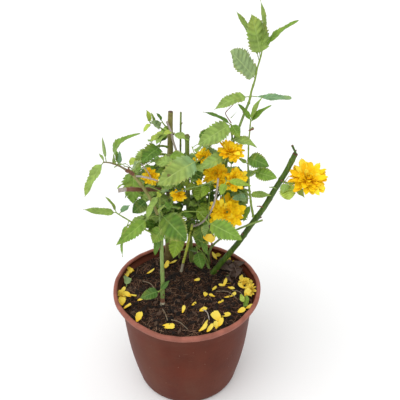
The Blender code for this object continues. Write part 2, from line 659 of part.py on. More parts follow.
def main():
    """Builds the pot, the soil, the canes and boughs, then the masses of foliage."""
    remove_everything()
    parts = named_collection(PLANT)
    cutters = named_collection("drain_drills")
    trees = {"pot": [surface_tree(build_pot(parts, cutters))], "soil": [surface_tree(build_soil(parts))]}
    limbs = limb_plan()
    for name, (carrier, share, bough) in bough_plan().items():
        onward = Vector(bough.tip) + Vector(bough.bow) * 4.0
        limbs[name] = bough._replace(foot=seat(limbs[carrier], share, onward, bough.foot_radius))
    for name, limb in limbs.items():
        trees[name] = [surface_tree(build_limb(name, limb, parts))]
    bench = named_collection("bench")
    plans = mass_plan()
    stems = {name: mass_stem(plan, limbs) for name, plan in plans.items()}
    loose = {name: build_planned(name, plan, stems[name], trees, bench) for name, plan in plans.items()}
    for name, plan in plans.items():
        if loose[name]:
            add_sprigs(name, plan, stems[name], trees, loose[name], bench)
            fuse(name, loose[name], parts)
    bpy.data.collections.remove(bench)


main()
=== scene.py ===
"""The looks of a potted Japanese kerria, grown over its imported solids.

Places and sizes are in millimetres and angles in degrees until a mesh is written, which is in
metres with +Z up. A heading turns from +X towards +Y, and a climb is measured up from level.
"""
from collections import namedtuple
import json
import math
import random

import bpy
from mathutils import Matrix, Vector
import numpy as np


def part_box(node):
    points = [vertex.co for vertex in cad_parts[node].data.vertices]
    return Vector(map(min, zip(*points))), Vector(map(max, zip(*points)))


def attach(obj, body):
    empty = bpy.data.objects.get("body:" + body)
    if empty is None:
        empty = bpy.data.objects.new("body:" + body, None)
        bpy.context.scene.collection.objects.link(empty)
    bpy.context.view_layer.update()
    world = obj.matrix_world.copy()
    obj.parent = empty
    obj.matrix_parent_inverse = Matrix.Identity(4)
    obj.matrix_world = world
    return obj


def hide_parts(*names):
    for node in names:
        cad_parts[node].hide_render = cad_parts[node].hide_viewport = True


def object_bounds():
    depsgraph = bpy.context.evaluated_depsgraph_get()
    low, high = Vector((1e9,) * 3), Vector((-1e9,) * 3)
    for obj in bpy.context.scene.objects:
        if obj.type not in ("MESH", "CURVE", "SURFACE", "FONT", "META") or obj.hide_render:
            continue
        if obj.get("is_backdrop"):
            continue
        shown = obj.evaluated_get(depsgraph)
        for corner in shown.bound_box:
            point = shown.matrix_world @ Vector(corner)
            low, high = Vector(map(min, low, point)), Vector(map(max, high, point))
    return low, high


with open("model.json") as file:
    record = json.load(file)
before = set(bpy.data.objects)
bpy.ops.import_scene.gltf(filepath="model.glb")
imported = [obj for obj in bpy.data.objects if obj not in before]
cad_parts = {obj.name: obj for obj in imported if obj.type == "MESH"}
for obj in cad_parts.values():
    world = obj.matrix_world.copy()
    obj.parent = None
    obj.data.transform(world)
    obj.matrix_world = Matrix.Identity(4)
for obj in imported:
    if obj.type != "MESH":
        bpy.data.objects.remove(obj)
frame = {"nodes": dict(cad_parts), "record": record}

bl_info = {
    "name": "Potted Kerria",
    "version": (1, 0, 0),
    "blender": (4, 5, 0),
    "location": "3D View > Sidebar > Kerria",
    "description": "Dresses the solids of a potted Japanese kerria with bark, leaves, blooms and soil",
    "category": "Object",
}

CAD_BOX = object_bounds()
MM = 0.001
BODY = "root"
UP = np.array((0.0, 0.0, 1.0))

# Measures that the frame gives
POT_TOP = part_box("pot")[1]
RIM_RADIUS = POT_TOP.x / MM
POT_HEIGHT = POT_TOP.z / MM
SOIL_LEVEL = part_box("soil")[1].z / MM
SOIL_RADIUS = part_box("soil")[1].x / MM

# Pot, as in the solids
BASE_RADIUS = 70.5
LIP_DEPTH = 12.0
SHOULDER = POT_HEIGHT - LIP_DEPTH
WALL = 2.5
FLOOR = 3.0
FOOT_ROUNDING = 7.0
POT_TAPER_TOP = 93.5
INNER_FOOT = 6.0
LIP_ROUNDING = 2.2
LIP_EDGE = POT_HEIGHT - 7.4
LIP_EDGE_ROUNDING = 1.8
LIP_SAG = 3.6
SAG_START = 4.0
BARREL = 2.8
# The slight rings moulded into the wall: height, how far they stand out, and half their height
MOULD_RINGS = ((118.0, 0.28, 1.2), (40.0, 0.2, 1.5))
UNDERSIDE = ((56.0, 0.0), (54.5, 0.5), (0.6, 0.5))
DRAIN_HOLES = 6
DRAIN_HOLE_RADIUS = 5.0
DRAIN_RING_RADIUS = 44.0
DRILL_SIDES = 24
DRILL_SPAN = (-6.0, 12.0)

# Soil: hollows round two canes, by place and reach, and the drop and least height of the crumbs
HOLLOWS = ((-32, -32, 9.0), (-10, 42, 8.0))
HOLLOW_DEPTH = 4.5
SOIL_EDGE = 6.0
LEAST_CRUMB = 0.12
SCATTER_REACH = 0.97

# Growth, as in the solids
GAP = 0.3
CANE_FOOT = SOIL_LEVEL + GAP
LEAF_SINK = 0.3
LEAF_ARCH = 0.05
GOLDEN_TURN = 137.5
BASAL_SHOOT_FOOT = (31.0, 50.0, SOIL_LEVEL + 2.0 * GAP)
SPRIG_LENGTHS = (16.0, 30.0)
SPRIG_CLIMBS = (-10.0, 50.0)
SPRIG_LEAF_LENGTHS = (30.0, 46.0)
SPRIG_LEAF_SHAPE = 0.46
SPRIG_LEAF_TURNS = ((0.45, 55.0), (0.75, -60.0), (1.0, 5.0))
SPRIG_LEAF_CLIMBS = (-35.0, 30.0)
SPRIG_LEAF_ROLL = 30.0
SPRIG_LEAF_BEND = 12.0
SPRIG_LEAF_PETIOLE = 5.0
SPRIG_RADIUS = 0.7
FIRST_SPRIG = 0.30
REACH_CENTRE = 0.6
LEAST_HEIGHT = SOIL_LEVEL + 12.0
STEM_TIP_RADIUS = 0.75
STEM_NODE_SPACING = 15.0
TWIG_TAPER = 0.8

# Growth that is finer than the solids
FINE_SHARES = (0.3, 0.62, 0.9)
FINE_TURN = 70.0
FINE_CLIMBS = (0.0, 45.0)
FINE_LENGTHS = (6.0, 12.0)
FINE_LEAF_LENGTHS = (16.0, 28.0)
FILL_CLIMBS = (-35.0, 50.0)
FILL_LENGTHS = (12.0, 36.0)
FILL_LEAF_LENGTHS = (24.0, 40.0)
FILL_LEAF_PLACES = ((0.5, 60.0), (0.7, -60.0), (0.85, 80.0), (1.0, -30.0), (1.0, 25.0))
FILL_TRIES = 3
FILL_TURN = 75.0
FINE_RADIUS = 0.45
SMALL_LEAF_BEND = 25.0
SMALL_LEAF_CLIMBS = (-42.0, 36.0)
SMALL_LEAF_SHAPES = (0.42, 0.56)
SMALL_LEAF_ROLL = 40.0
SMALL_LEAF_PETIOLES = (3.0, 6.0)
SMALL_LEAF_ARCHES = (0.02, 0.12)
SMALL_LEAF_BLUNTNESS = (0.0, 0.35)

# What growth keeps clear of
BOX_MARGIN = 6.0
LIMB_CLEARANCE = 0.7
BLOOM_CLEARANCE = 0.8
BLOOM_SHADOW = 0.85
WALL_HEADROOM = 3.0
WALL_CLEARANCE = 8.0
TOWARDS_LIGHT = (0.0, -0.80, 0.60)
# Places along and at the edges of a leaf by which its clearance is judged: shares of its length and width
LEAF_FEELERS = (
    (0.3, 0.0), (0.5, 0.0), (0.7, 0.0), (0.85, 0.0), (1.0, 0.0),
    (0.5, 0.45), (0.5, -0.45), (0.75, 0.3), (0.75, -0.3),
)

# Leaf blades
BLADE_COLUMNS = (1.0, 0.70, 0.38, 0.05, -0.05, -0.38, -0.70, -1.0)
VEIN_SLANT = 0.18
LEAF_THICKNESS = 0.22
PETIOLE_RADIUS = 0.6
MOST_TOOTH = 0.15
BROAD_HALF = 11.0
FINER_TEETH = 4
TEETH_PER_VEIN = 2
PETIOLE_ROWS = (0.0, 0.5, 0.92)
PETIOLE_GIRTHS = (1.15, 0.85, 1.0)
UPPER, RIB, UNDER, STALK = range(4)

# Camera, from the pot's rim, foot and height in the photo
CAMERA_PLACE = (0.018, -0.600, 0.640)
SEEN_FROM = np.array(CAMERA_PLACE) / MM
CAMERA_PITCH = 30.4
CAMERA_LENS = 50.4
SENSOR_WIDTH = 36.0
KEY_DIRECTION = (0.35, 0.45, -1.0)
FLOOR_REACH = 9.0

# Openings of the crown that show the sky from the photo's side: a place in each, and its radius
OPENINGS = (
    (91, 20, 300, 10), (-63, 0, 363, 8), (-49, 0, 369, 7), (11, 20, 369, 7), (103, 20, 397, 7),
    (-56, 0, 234, 8), (72, 20, 196, 7), (104, 20, 301, 7), (73, 20, 322, 4), (-74, 0, 269, 5),
    (113, 20, 336, 10), (-69, 0, 351, 6), (-64, 0, 218, 11), (-86, 0, 292, 9), (24, 20, 387, 6),
    (-42, 0, 384, 5), (-1, 20, 372, 4), (94, 20, 273, 5), (82, 20, 255, 4), (-68, 0, 282, 4),
    (46, 20, 208, 4), (-73, 0, 342, 4), (-50, 0, 222, 6), (-95, 0, 313, 11), (-80, 0, 324, 8),
    (-25, 20, 346, 5), (-5, 20, 352, 5), (9, 20, 352, 6), (16, 20, 358, 5), (-91, 0, 349, 9),
    (-67, 0, 356, 8), (-40, 20, 371, 6), (-46, 20, 364, 5), (-60, 0, 348, 5),
)
# Limbs that stay in sight, by the shares between which no seeded leaf hangs before them
BARE = (
    ("cane_yellow", 0.0, 1.0), ("twig_grey", 0.0, 1.0), ("cane_front", 0.0, 0.55), ("bough_cut", 0.55, 1.0),
    ("twig_dead", 0.0, 1.0), ("bough_left", 0.3, 1.0), ("cane_right", 0.0, 1.0), ("cane_old", 0.76, 1.0),
    ("cane_tall", 0.88, 1.0), ("cane_slim_right", 0.6, 1.0), ("cane_slim", 0.80, 1.0),
    ("cane_short", 0.88, 1.0), ("cane_short", 0.36, 0.62),
)
BARE_MARGIN = 0.0062
SHOWN_WIDTH = 8.0

Limb = namedtuple("Limb", "foot tip bow foot_radius tip_radius bark")
Leaf = namedtuple("Leaf", "share heading climb length width roll petiole tone arch blunt")
Bloom = namedtuple("Bloom", "share centre radius heading climb")
Mass = namedtuple("Mass", "limb share tip bow radius reach leaves blooms sprigs seed fill tones twig")
Grown = namedtuple("Grown", "base leaf fine")
Shape = namedtuple("Shape", "points quads caps uvs tones")


def leaf(share, heading, climb, length, width, roll=0.0, petiole=7.0, tone="fresh", arch=LEAF_ARCH,
         blunt=0.0):
    """One leaf of the plan; the length runs from the twig to the leaf's tip, petiole included."""
    return Leaf(share, heading, climb, length, width, roll, petiole, tone, arch, blunt)


def mass(limb, share, tip, bow=(0, 0, 0), radius=1.2, reach=90.0, leaves=(), blooms=(), sprigs=0, seed=1,
         fill=0, tones=("leaf", "deep", "fresh"), twig="twig_green"):
    """One mass of the plan: its stem leaves a limb at a share of that limb's length."""
    return Mass(limb, share, tip, bow, radius, reach, leaves, blooms, sprigs, seed, fill, tones, twig)


# The canes that stand in the soil, by foot, tip and how far the middle bows aside
CANES = {
    "cane_right": Limb((35, 40, CANE_FOOT), (132, 5, 349), (10, 1, 4), 4.0, 3.3, "green"),
    "cane_tall": Limb((22, 62, CANE_FOOT), (76, 34, 402), (-8, 0, 0), 2.2, 1.5, "light"),
    "cane_old": Limb((-29, 69, CANE_FOOT), (-19, 62, 380), (0, 0, 0), 5.8, 3.2, "olive"),
    "cane_slim": Limb((-13, 74, CANE_FOOT), (-6, 60, 380), (0, 0, 0), 1.6, 1.2, "leafy"),
    "cane_short": Limb((6, 68, CANE_FOOT), (2, 42, 357), (-2, -2, 0), 3.4, 2.8, "leafy"),
    "cane_front": Limb((-32, -26, CANE_FOOT), (-32, -4, 283), (1, 1, 0), 2.9, 2.0, "light"),
    "cane_yellow": Limb((-9, 46, CANE_FOOT), (8, 24, 237), (0, 0, 0), 1.8, 1.6, "yellow"),
    "cane_slim_right": Limb((34, 62, CANE_FOOT), (98, 8, 253), (-26, 4, 0), 1.5, 1.3, "light"),
}


# The boughs: the limb and share they leave from, then tip, bow, radii and bark
BOUGHS = {
    "bough_cut": ("cane_old", 0.53, Limb(None, (-79, -22, 314), (0, -18, 12), 2.9, 2.5, "brown")),
    "bough_left": ("cane_front", 0.93, Limb(None, (-62, -10, 329), (3, 0, 0), 2.1, 1.8, "olive")),
    "twig_dead": ("bough_left", 0.93, Limb(None, (-33, -9, 320), (0, 0, 1), 1.3, 1.0, "grey")),
    "twig_grey": ("cane_yellow", 0.985, Limb(None, (40, 0, 318), (6, -4, -11), 1.4, 1.2, "grey")),
    "stub_top": ("cane_right", 1.0, Limb(None, (127.5, 6, 359.5), (0, 0, 0), 1.1, 1.5, "green")),
}


INNER_TONES = ("leaf", "fresh", "deep")
# The masses of foliage, those in front leaf by leaf and the inner and rear ones by sprigs
MASSES = {
    "crown_top": mass("cane_tall", 1.0, (88, 26, 469), radius=1.4,
        leaves=(
            leaf(0.12, -161, -12, 47, 17, -25, arch=0.1),
            leaf(0.13, -13, 2, 48, 12, 14, 8, "sheen", -0.02, 0.8),
            leaf(0.47, -160, 46, 46, 27, -62, 3, "pale", 0.02, 1.0), leaf(0.78, 160, 61, 60, 15, -10),
            leaf(0.84, -165, 76, 50, 27, -85, 7, blunt=0.35),
            leaf(0.97, -19, 45, 52, 12, 25, 8, "leaf"), leaf(0.98, -155, 85, 54, 11, -60, 3))),
    "side_shoot": mass("cane_right", 0.49, (79, 27, 385), (-5, -2, 0), 1.5,
        leaves=(
            leaf(0.2, -159, 12, 27, 13, -30, tone="sheen"), leaf(0.24, -30, 13, 31, 10, 40, 2),
            leaf(0.14, -155, -68, 27, 8, -20, 4, "leaf"), leaf(0.43, -50, 42, 21, 9, 30, 4),
            leaf(0.5, -27, -3, 38, 17, 50, 10, "leaf", blunt=0.3), leaf(0.56, 140, 13, 16, 6, -20, 3),
            leaf(0.63, -31, -8, 29, 19, 52, 1, "deep", blunt=0.2), leaf(0.9, -21, 32, 6, 4, 30, 2),
            leaf(0.98, 156, 48, 26, 8, -20, 2, "leaf"), leaf(0.99, -38, 66, 36, 8, 65, 2),
            leaf(0.97, -22, 46, 34, 9, 40, 2, "leaf"))),
    "right_bloom": mass("cane_right", 0.8, (141, 3, 315), (0, -3, -2), 1.3,
        leaves=(
            leaf(0.1, -75, -38, 23, 20, 30, 3, "spring", blunt=0.8),
            leaf(0.45, -29, -40, 24, 10, 25, 6), leaf(0.25, -120, -20, 16, 12, 10, 3, blunt=0.6)),
        blooms=(Bloom(1.0, (151, 0, 321), 23, -82, 62),)),
    "left_tip": mass("bough_left", 1.0, (-94, -20, 350), (-2, 0, 5), 1.5, twig="twig_brown",
        leaves=(
            leaf(0.99, -149, -55, 47, 16, -10, 3), leaf(0.86, -101, 84, 34, 4, 30, 6),
            leaf(0.95, -134, 67, 15, 4, 30, 3, "leaf"),
            leaf(0.48, -26, 54, 57, 16, 38, 2, "leaf", 0.23),
            leaf(0.42, 118, 48, 22, 10, 40, 3, "leaf", blunt=0.5),
            leaf(0.4, 90, 55, 18, 6, 40, 3, "sheen"))),
    "left_leaves": mass("cane_old", 0.8, (-65, 30, 314), (0, 0, 12), 1.4, tones=INNER_TONES,
        leaves=(
            leaf(0.16, -122, -6, 46, 22, -24, tone="deep"), leaf(0.48, -122, -20, 36, 20, -20, 5),
            leaf(0.75, -124, 0, 24, 17, 10, tone="spring"),
            leaf(0.98, -104, -70, 45, 27, 0, 4, "leaf")),
        blooms=(Bloom(0.7, (-43, 6, 317), 11.5, -100, 10),),
        sprigs=2, seed=11, fill=3),
    "upper_left": mass("cane_old", 0.88, (-45, 50, 371), (0, 0, 2), 1.1,
        leaves=(
            leaf(0.05, -144, -16, 26, 15, 10, 4, "spring"),
            leaf(0.12, -115, -21, 25, 10, 0, tone="fresh"),
            leaf(0.35, -124, 39, 25, 11, -75, 3, "pale"), leaf(0.7, -154, 75, 17, 5, -60, 2, "fresh"),
            leaf(0.88, -131, -28, 17, 7, -5, 3, "spring"),
            leaf(0.98, -127, 74, 19, 8, -95, 2, "spring"), leaf(0.6, 150, 20, 14, 5, 40, 2, "spring"))),
    "front_left": mass("cane_front", 1.0, (-30, -13, 308), radius=1.6,
        leaves=(
            leaf(0.9, -145, -57, 39, 12, 0), leaf(0.95, -51, 25, 21, 6, 30, 4, "sheen"),
            leaf(0.92, -100, 5, 16, 7, -30, 3, "spring")),
        sprigs=2, seed=3, fill=1),
    "left_hanging": mass("bough_cut", 0.58, (-48, 2, 287), radius=0.9,
        leaves=(leaf(0.97, -135, -24, 25, 18, -45, 3, "dark", blunt=0.4),)),
    "lower_left": mass("cane_front", 0.7, (-84, -24, 285), (-4, -2, 3), 1.2,
        leaves=(
            leaf(0.62, -150, -74, 52, 10, 0, tone="leaf"),
            leaf(0.98, -157, 20, 41, 11, -28, 3, arch=-0.05), leaf(0.97, -150, 66, 29, 6, -40, 4),
            leaf(0.9, 38, 22, 18, 9, 10, 4, "sheen"))),
    "centre_front": mass("cane_short", 0.74, (14, 2, 341), radius=1.3,
        leaves=(
            leaf(1.0, -146, -16, 57, 29, -40, 3, "worn", 0.08, 0.3), leaf(0.6, -60, 10, 26, 12, 20, 4)),
        blooms=(
            Bloom(0.85, (24, 34, 331), 11, -80, 30), Bloom(0.12, (-9, -2, 294), 10, -95, -10),
            Bloom(0.8, (11, 16, 334), 4, -90, 10), Bloom(0.5, (17, 0, 313), 4, -90, 0)),
        sprigs=2, seed=5, fill=4),
    "centre_top": mass("cane_tall", 0.81, (56, 36, 374), radius=1.2,
        leaves=(
            leaf(1.0, -150, -20, 49, 23, -52, 4, "fresh", 0.12, 0.45),
            leaf(0.98, 173, 24, 38, 8, -12, 4, "deep"), leaf(0.04, -47, 4, 41, 14, 20, 3),
            leaf(1.0, -44, -44, 20, 13, 35, 2, "leaf")),
        blooms=(Bloom(0.2, (56, 17, 349), 16.5, -70, 70),)),
    "centre_leaf": mass("cane_tall", 0.72, (54, 25, 341), radius=0.9,
        leaves=(leaf(0.97, -151, -18, 46, 17, -30, 4, "fresh", 0.05, 0.1),)),
    "centre_blooms": mass("cane_tall", 0.6, (45, 14, 300), radius=1.4,
        leaves=(
            leaf(0.8, -60, 20, 20, 12, 20, 3, "fresh"), leaf(0.6, -150, 5, 26, 15, -10, 3, "fresh")),
        blooms=(
            Bloom(0.95, (53, 13, 262), 22.5, -88, 30), Bloom(0.9, (38, 21, 315), 17, -95, 44),
            Bloom(0.7, (62, 12, 309), 17, -60, 14), Bloom(0.6, (48, 12, 302), 9, -70, -30)),
        sprigs=2, seed=8, fill=3),
    "green_twig": mass("cane_short", 0.66, (35, 8, 308), (0, 0, -2), 1.1,
        leaves=(
            leaf(0.15, -37, -35, 27, 18, 40, 3, "lime"), leaf(0.55, -115, -45, 22, 15, -10, 3, "lime"),
            leaf(0.8, -122, -32, 20, 12, -20, 3, "lime"), leaf(0.65, -70, 30, 22, 14, 10, 3, "fresh"),
            leaf(0.25, 80, 50, 26, 17, 0, 3, "deep"), leaf(0.35, -130, 10, 24, 13, -30, 3, "spring")),
        tones=("leaf", "lime", "spring"), fill=3),
    "front_low": mass("cane_front", 0.8, (-2, -8, 276), (0, 0, 2), 1.3, tones=INNER_TONES,
        leaves=(
            leaf(0.06, -156, -53, 29, 19, -45, 5, "leaf"),
            leaf(0.02, -167, -73, 46, 9, -50, 20, "deep"), leaf(0.75, 20, -20, 20, 12, 20, 3, "deep")),
        sprigs=1, seed=13, fill=3),
    "right_low": mass("cane_tall", 0.37, (28, -12, 262), radius=1.3,
        leaves=(
            leaf(0.98, -29, -13, 48, 24, 40, 4, "leaf", 0.05, 0.2),
            leaf(0.97, 141, -75, 25, 12, 30, 3, "deep"), leaf(0.5, -110, -72, 34, 15, 10, 4, "deep"),
            leaf(0.2, 85, 58, 30, 19, 0, 4, "dark"), leaf(0.99, -40, -62, 20, 4, 30, 3, "dead")),
        sprigs=2, seed=21, fill=3),
    "basal_shoot": mass(None, 0.0, (12, 46, 186), (5, 0, 0), 1.2,
        leaves=(
            leaf(0.97, -72, -44, 32, 17, 22, 9, "deep", 0.03, 0.3),
            leaf(0.7, 170, 5, 30, 13, 10, tone="deep")),
        sprigs=0, seed=2),
    "foot_leaves": mass("cane_front", 0.17, (-36, -33, 169), radius=0.9,
        leaves=(leaf(0.6, -155, -5, 28, 15, -30, 3, "dark"), leaf(0.5, 35, 36, 18, 7, 40, 3, "dark"))),
    "low_left": mass("cane_old", 0.36, (-8, -2, 240), radius=1.3, tones=INNER_TONES,
        leaves=(
            leaf(0.98, -135, -70, 36, 19, -35, 3, "lime", 0.04, 0.1),
            leaf(0.55, -136, -54, 28, 12, -20, tone="leaf"),
            leaf(0.8, -60, -70, 30, 14, 20, 3, "deep")),
        sprigs=4, seed=17, fill=7),
    "low_right": mass("cane_short", 0.42, (12, 34, 240), radius=1.2,
        leaves=(
            leaf(0.98, -26, -74, 36, 15, 25, 5, "deep"), leaf(0.97, -150, -73, 30, 14, -35, 4, "deep"),
            leaf(0.95, -60, 38, 24, 12, 20, 3, "spring")),
        sprigs=3, seed=19, fill=7, tones=INNER_TONES),
    "back_left": mass(
        "cane_old", 0.42, (-52, 100, 262), (0, 0, 6), 1.5, 62.0, sprigs=5, seed=23, fill=4,
        blooms=(Bloom(0.95, (-54, 108, 250), 11, 110, 20),)),
    "back_middle": mass(
        "cane_slim", 0.55, (-4, 104, 286), (0, 0, 6), 1.3, 62.0, sprigs=5, seed=29, fill=4,
        blooms=(Bloom(0.98, (-4, 112, 272), 14, 85, 25),)),
    "back_right": mass(
        "cane_tall", 0.45, (66, 88, 262), (0, 0, 6), 1.3, 62.0, sprigs=5, seed=31, fill=4,
        blooms=(Bloom(0.95, (60, 100, 256), 12, 60, 20),)),
}


# Sprouts that are too slight for solids, in the same terms as the masses
SPROUTS = {
    "sprout_upper": mass("cane_old", 0.9, (-16, 50, 356), (0, -2, 2), 0.8, twig="twig_brown",
        leaves=(leaf(1.0, -31, -10, 24, 11, 20, 3), leaf(0.8, -132, 9, 16, 8, -20, 3, "spring"))),
    "sprout_top": mass("cane_old", 0.905, (-29, 51, 371), (0, -1, 0), 1.1,
        leaves=(
            leaf(1.0, -153, 61, 15, 6, -50, 3, "deep"), leaf(0.93, -146, -8, 13, 5, 30, 3, "sheen"))),
    "sprout_left": mass("cane_front", 0.9, (-47, -12, 268), (0, -2, 3), 0.8,
        leaves=(leaf(1.0, -148, -28, 51, 17, -52, 4, "leaf", 0.08),)),
    "sprout_broad": mass("cane_front", 0.94, (-29, -10, 271), (0, 0, 1), 0.9,
        leaves=(leaf(0.95, -29, -37, 44, 34, 42, 2, "deep", 0.05, 0.2),)),
    "sprout_low": mass("cane_short", 0.38, (16, 30, 234), (0, 0, 2), 0.9,
        leaves=(
            leaf(1.0, -62, -60, 36, 21, 30, 4, "deep"), leaf(0.9, -75, -70, 36, 15, 20, 4, "leaf"),
            leaf(0.7, -150, -30, 28, 18, -20, 4, "dark"), leaf(1.0, -30, 8, 28, 17, 30, 4, "leaf"),
            leaf(0.8, 60, 20, 30, 16, 0, 4, "leaf"), leaf(0.4, 90, 60, 30, 20, 0, 4, "deep"),
            leaf(0.9, 105, 55, 30, 19, 0, 4, "dark"), leaf(0.9, 60, 55, 34, 20, 8, 4, "deep"))),
    "sprout_hidden": mass("cane_short", 0.5, (16, 24, 268), (0, 0, 2), 0.8,
        leaves=(
            leaf(1.0, -41, -68, 31, 15, 35, 4, "lime"), leaf(0.9, -120, 20, 22, 12, -20, 3),
            leaf(0.8, -20, -30, 24, 14, 30, 3, "lime"), leaf(0.9, 50, 50, 26, 17, 5, 3, "deep"))),
    "sprout_bloom": mass("cane_tall", 0.62, (50, -6, 318), (0, -2, 2), 0.6,
        leaves=(
            leaf(1.0, -130, -52, 19, 10, -10, 4, "lime"),
            leaf(0.97, -18, -2, 31, 9, 42, 4, "lime", 0.05))),
    "sprout_pale": mass("bough_left", 0.7, (-66, -2, 331), (0, 2, 2), 0.8,
        leaves=(leaf(0.9, -26, 50, 22, 12, 30, 3, "pale"), leaf(0.7, 60, 30, 16, 8, -20, 3))),
    "sprout_inner": mass("cane_yellow", 0.8, (22, 4, 222), (2, 0, -2), 0.8,
        leaves=(
            leaf(0.95, -60, 20, 16, 7, 0, 3, "spring"), leaf(0.6, -20, -60, 24, 10, 20, 3, "deep"))),
}


# Colours as the eye sees them, from 0 to 255. A leaf tone is its upper face, then its underside.
LEAF_TONES = {
    "spring": ((172, 194, 78), (186, 204, 118)),
    "fresh": ((142, 170, 80), (158, 182, 116)),
    # The worn leaf has brown blemishes and a painted sheen near its root.
    "worn": ((143, 166, 78), (158, 182, 116)),
    "lime": ((136, 166, 48), (156, 182, 84)),
    "leaf": ((118, 154, 52), (142, 170, 92)),
    # The deep and dark tones are partly the leaves' own darker green and partly painted shade, for leaves
    # inside the crown and low under it.
    "deep": ((90, 128, 40), (118, 148, 74)),
    "dark": ((70, 106, 34), (98, 128, 64)),
    # A painted sheen: the blue-green of reflected sky put into the leaf's own colour.
    "sheen": ((122, 160, 112), (142, 170, 120)),
    "pale": ((152, 177, 120), (142, 170, 90)),
    "dead": ((88, 70, 60), (134, 118, 110)),
}
# Sunned patches, edge and ribs of a live leaf and of a dry one
LIVE_COLOURS = ((196, 196, 84), (168, 160, 84), (176, 194, 124))
DRY_COLOURS = ((140, 112, 98), (60, 44, 38), (112, 88, 76))
WORN_SPOTS = (104, 84, 50)
RIB_SHARE = 0.35
STALK_COLOUR = (138, 160, 84)
TWIG_COLOURS = {"twig_green": (132, 154, 68), "twig_brown": (128, 118, 82)}
# Each bark's base, streaks and spots, and its cut wood
BARKS = {
    "green": ((60, 88, 22), (104, 128, 42), (88, 74, 44), (112, 74, 58)),
    "light": ((122, 148, 76), (158, 178, 112), (124, 108, 72), (176, 170, 128)),
    "leafy": ((112, 132, 58), (142, 158, 90), (92, 76, 48), (116, 112, 66)),
    "olive": ((128, 124, 66), (168, 160, 104), (104, 78, 54), (104, 84, 72)),
    "brown": ((118, 76, 58), (156, 120, 100), (76, 52, 42), (176, 168, 162)),
    "rust": ((112, 72, 50), (140, 98, 72), (80, 46, 34), (124, 80, 60)),
    "yellow": ((196, 208, 84), (220, 226, 120), (148, 140, 70), (190, 184, 140)),
    "grey": ((160, 148, 138), (200, 190, 182), (112, 92, 80), (150, 136, 124)),
    "straw": ((120, 104, 84), (150, 132, 108), (84, 66, 52), (150, 132, 108)),
}
# Bark that darkens and browns towards the soil, and how far up it does: partly the cane's own browner foot,
# partly painted shade low under the crown
DARK_FEET = {"olive": (84, 64, 40)}
DARK_FOOT_HEIGHT = 95.0
PETAL_TONES = {
    "golden": (255, 218, 22),
    "amber": (252, 202, 14),
    "lemon": (255, 230, 62),
}
FALLEN_TONE = (236, 212, 104)
PETAL_HEART = (246, 190, 12)
CALYX_COLOUR = (118, 150, 70)
BLEACHED_COLOUR = (196, 188, 160)
# Soil that sticks to the pot, and its dark stains
SPECK_COLOUR = (170, 140, 124)
BLOT_COLOUR = (58, 32, 24)
# The mix, its peat, crumbs, fibres and the painted shade of its pits
SOIL_COLOURS = ((40, 29, 22), (17, 11, 7), (54, 37, 27), (104, 80, 62), (18, 13, 10))


class KerriaPot(bpy.types.PropertyGroup):
    """The plastic pot."""
    plastic: bpy.props.FloatVectorProperty(
        name="Plastic", description="Colour of the clean plastic", subtype="COLOR", size=3,
        min=0.0, max=1.0, default=(0.104, 0.0180, 0.0070))
    # The dust colour also paints the highlight on the pot's lit left side.
    dust: bpy.props.FloatVectorProperty(
        name="Dust", description="Colour of the dry dust on it", subtype="COLOR", size=3,
        min=0.0, max=1.0, default=(0.140, 0.066, 0.044))
    # The lip colour is a paler red that paints the highlight on the rolled lip.
    lip: bpy.props.FloatVectorProperty(
        name="Lip", description="Colour of the faded lip", subtype="COLOR", size=3,
        min=0.0, max=1.0, default=(0.320, 0.112, 0.078))
    segments: bpy.props.IntProperty(
        name="Segments", description="Faces round the pot", default=192, min=48, max=512)


class KerriaSoil(bpy.types.PropertyGroup):
    """The potting mix and what lies on it."""
    grid: bpy.props.IntProperty(
        name="Grid", description="Faces across the soil", default=250, min=60, max=300)
    crumb_height: bpy.props.FloatProperty(
        name="Crumb Height", description="How far the crumbs stand up", default=0.0034,
        min=0.0, max=0.01, subtype="DISTANCE", unit="LENGTH")
    fibres: bpy.props.IntProperty(
        name="Fibres", description="Number of coir fibres", default=2600, min=0, max=4000)
    chips: bpy.props.IntProperty(
        name="Chips", description="Number of bark chips and crumbs", default=1500, min=0, max=4000)


class KerriaCanes(bpy.types.PropertyGroup):
    """The canes and boughs."""
    sides: bpy.props.IntProperty(
        name="Sides", description="Faces round a cane", default=20, min=8, max=48)
    relief: bpy.props.FloatProperty(
        name="Relief", description="Depth of the bark's relief, as a share of the radius",
        default=0.05, min=0.0, max=0.2, subtype="FACTOR")


class KerriaLeaves(bpy.types.PropertyGroup):
    """The leaves and twigs."""
    teeth: bpy.props.IntProperty(
        name="Teeth", description="Teeth along each side of a large leaf", default=14, min=4, max=18)
    tooth_depth: bpy.props.FloatProperty(
        name="Tooth Depth", description="Depth of a tooth", default=0.0016, min=0.0, max=0.004,
        subtype="DISTANCE", unit="LENGTH")
    pleat: bpy.props.FloatProperty(
        name="Pleat", description="Height of the pleats between the side veins, as a share of the width",
        default=0.075, min=0.0, max=0.15, subtype="FACTOR")


class KerriaBlooms(bpy.types.PropertyGroup):
    """The double blooms."""
    petals: bpy.props.IntProperty(
        name="Petals", description="Petals in the outer ring of a large bloom", default=17, min=5, max=24)
    ruffle: bpy.props.FloatProperty(
        name="Ruffle", description="How much the petals differ from each other",
        default=1.0, min=0.0, max=2.0, subtype="FACTOR")


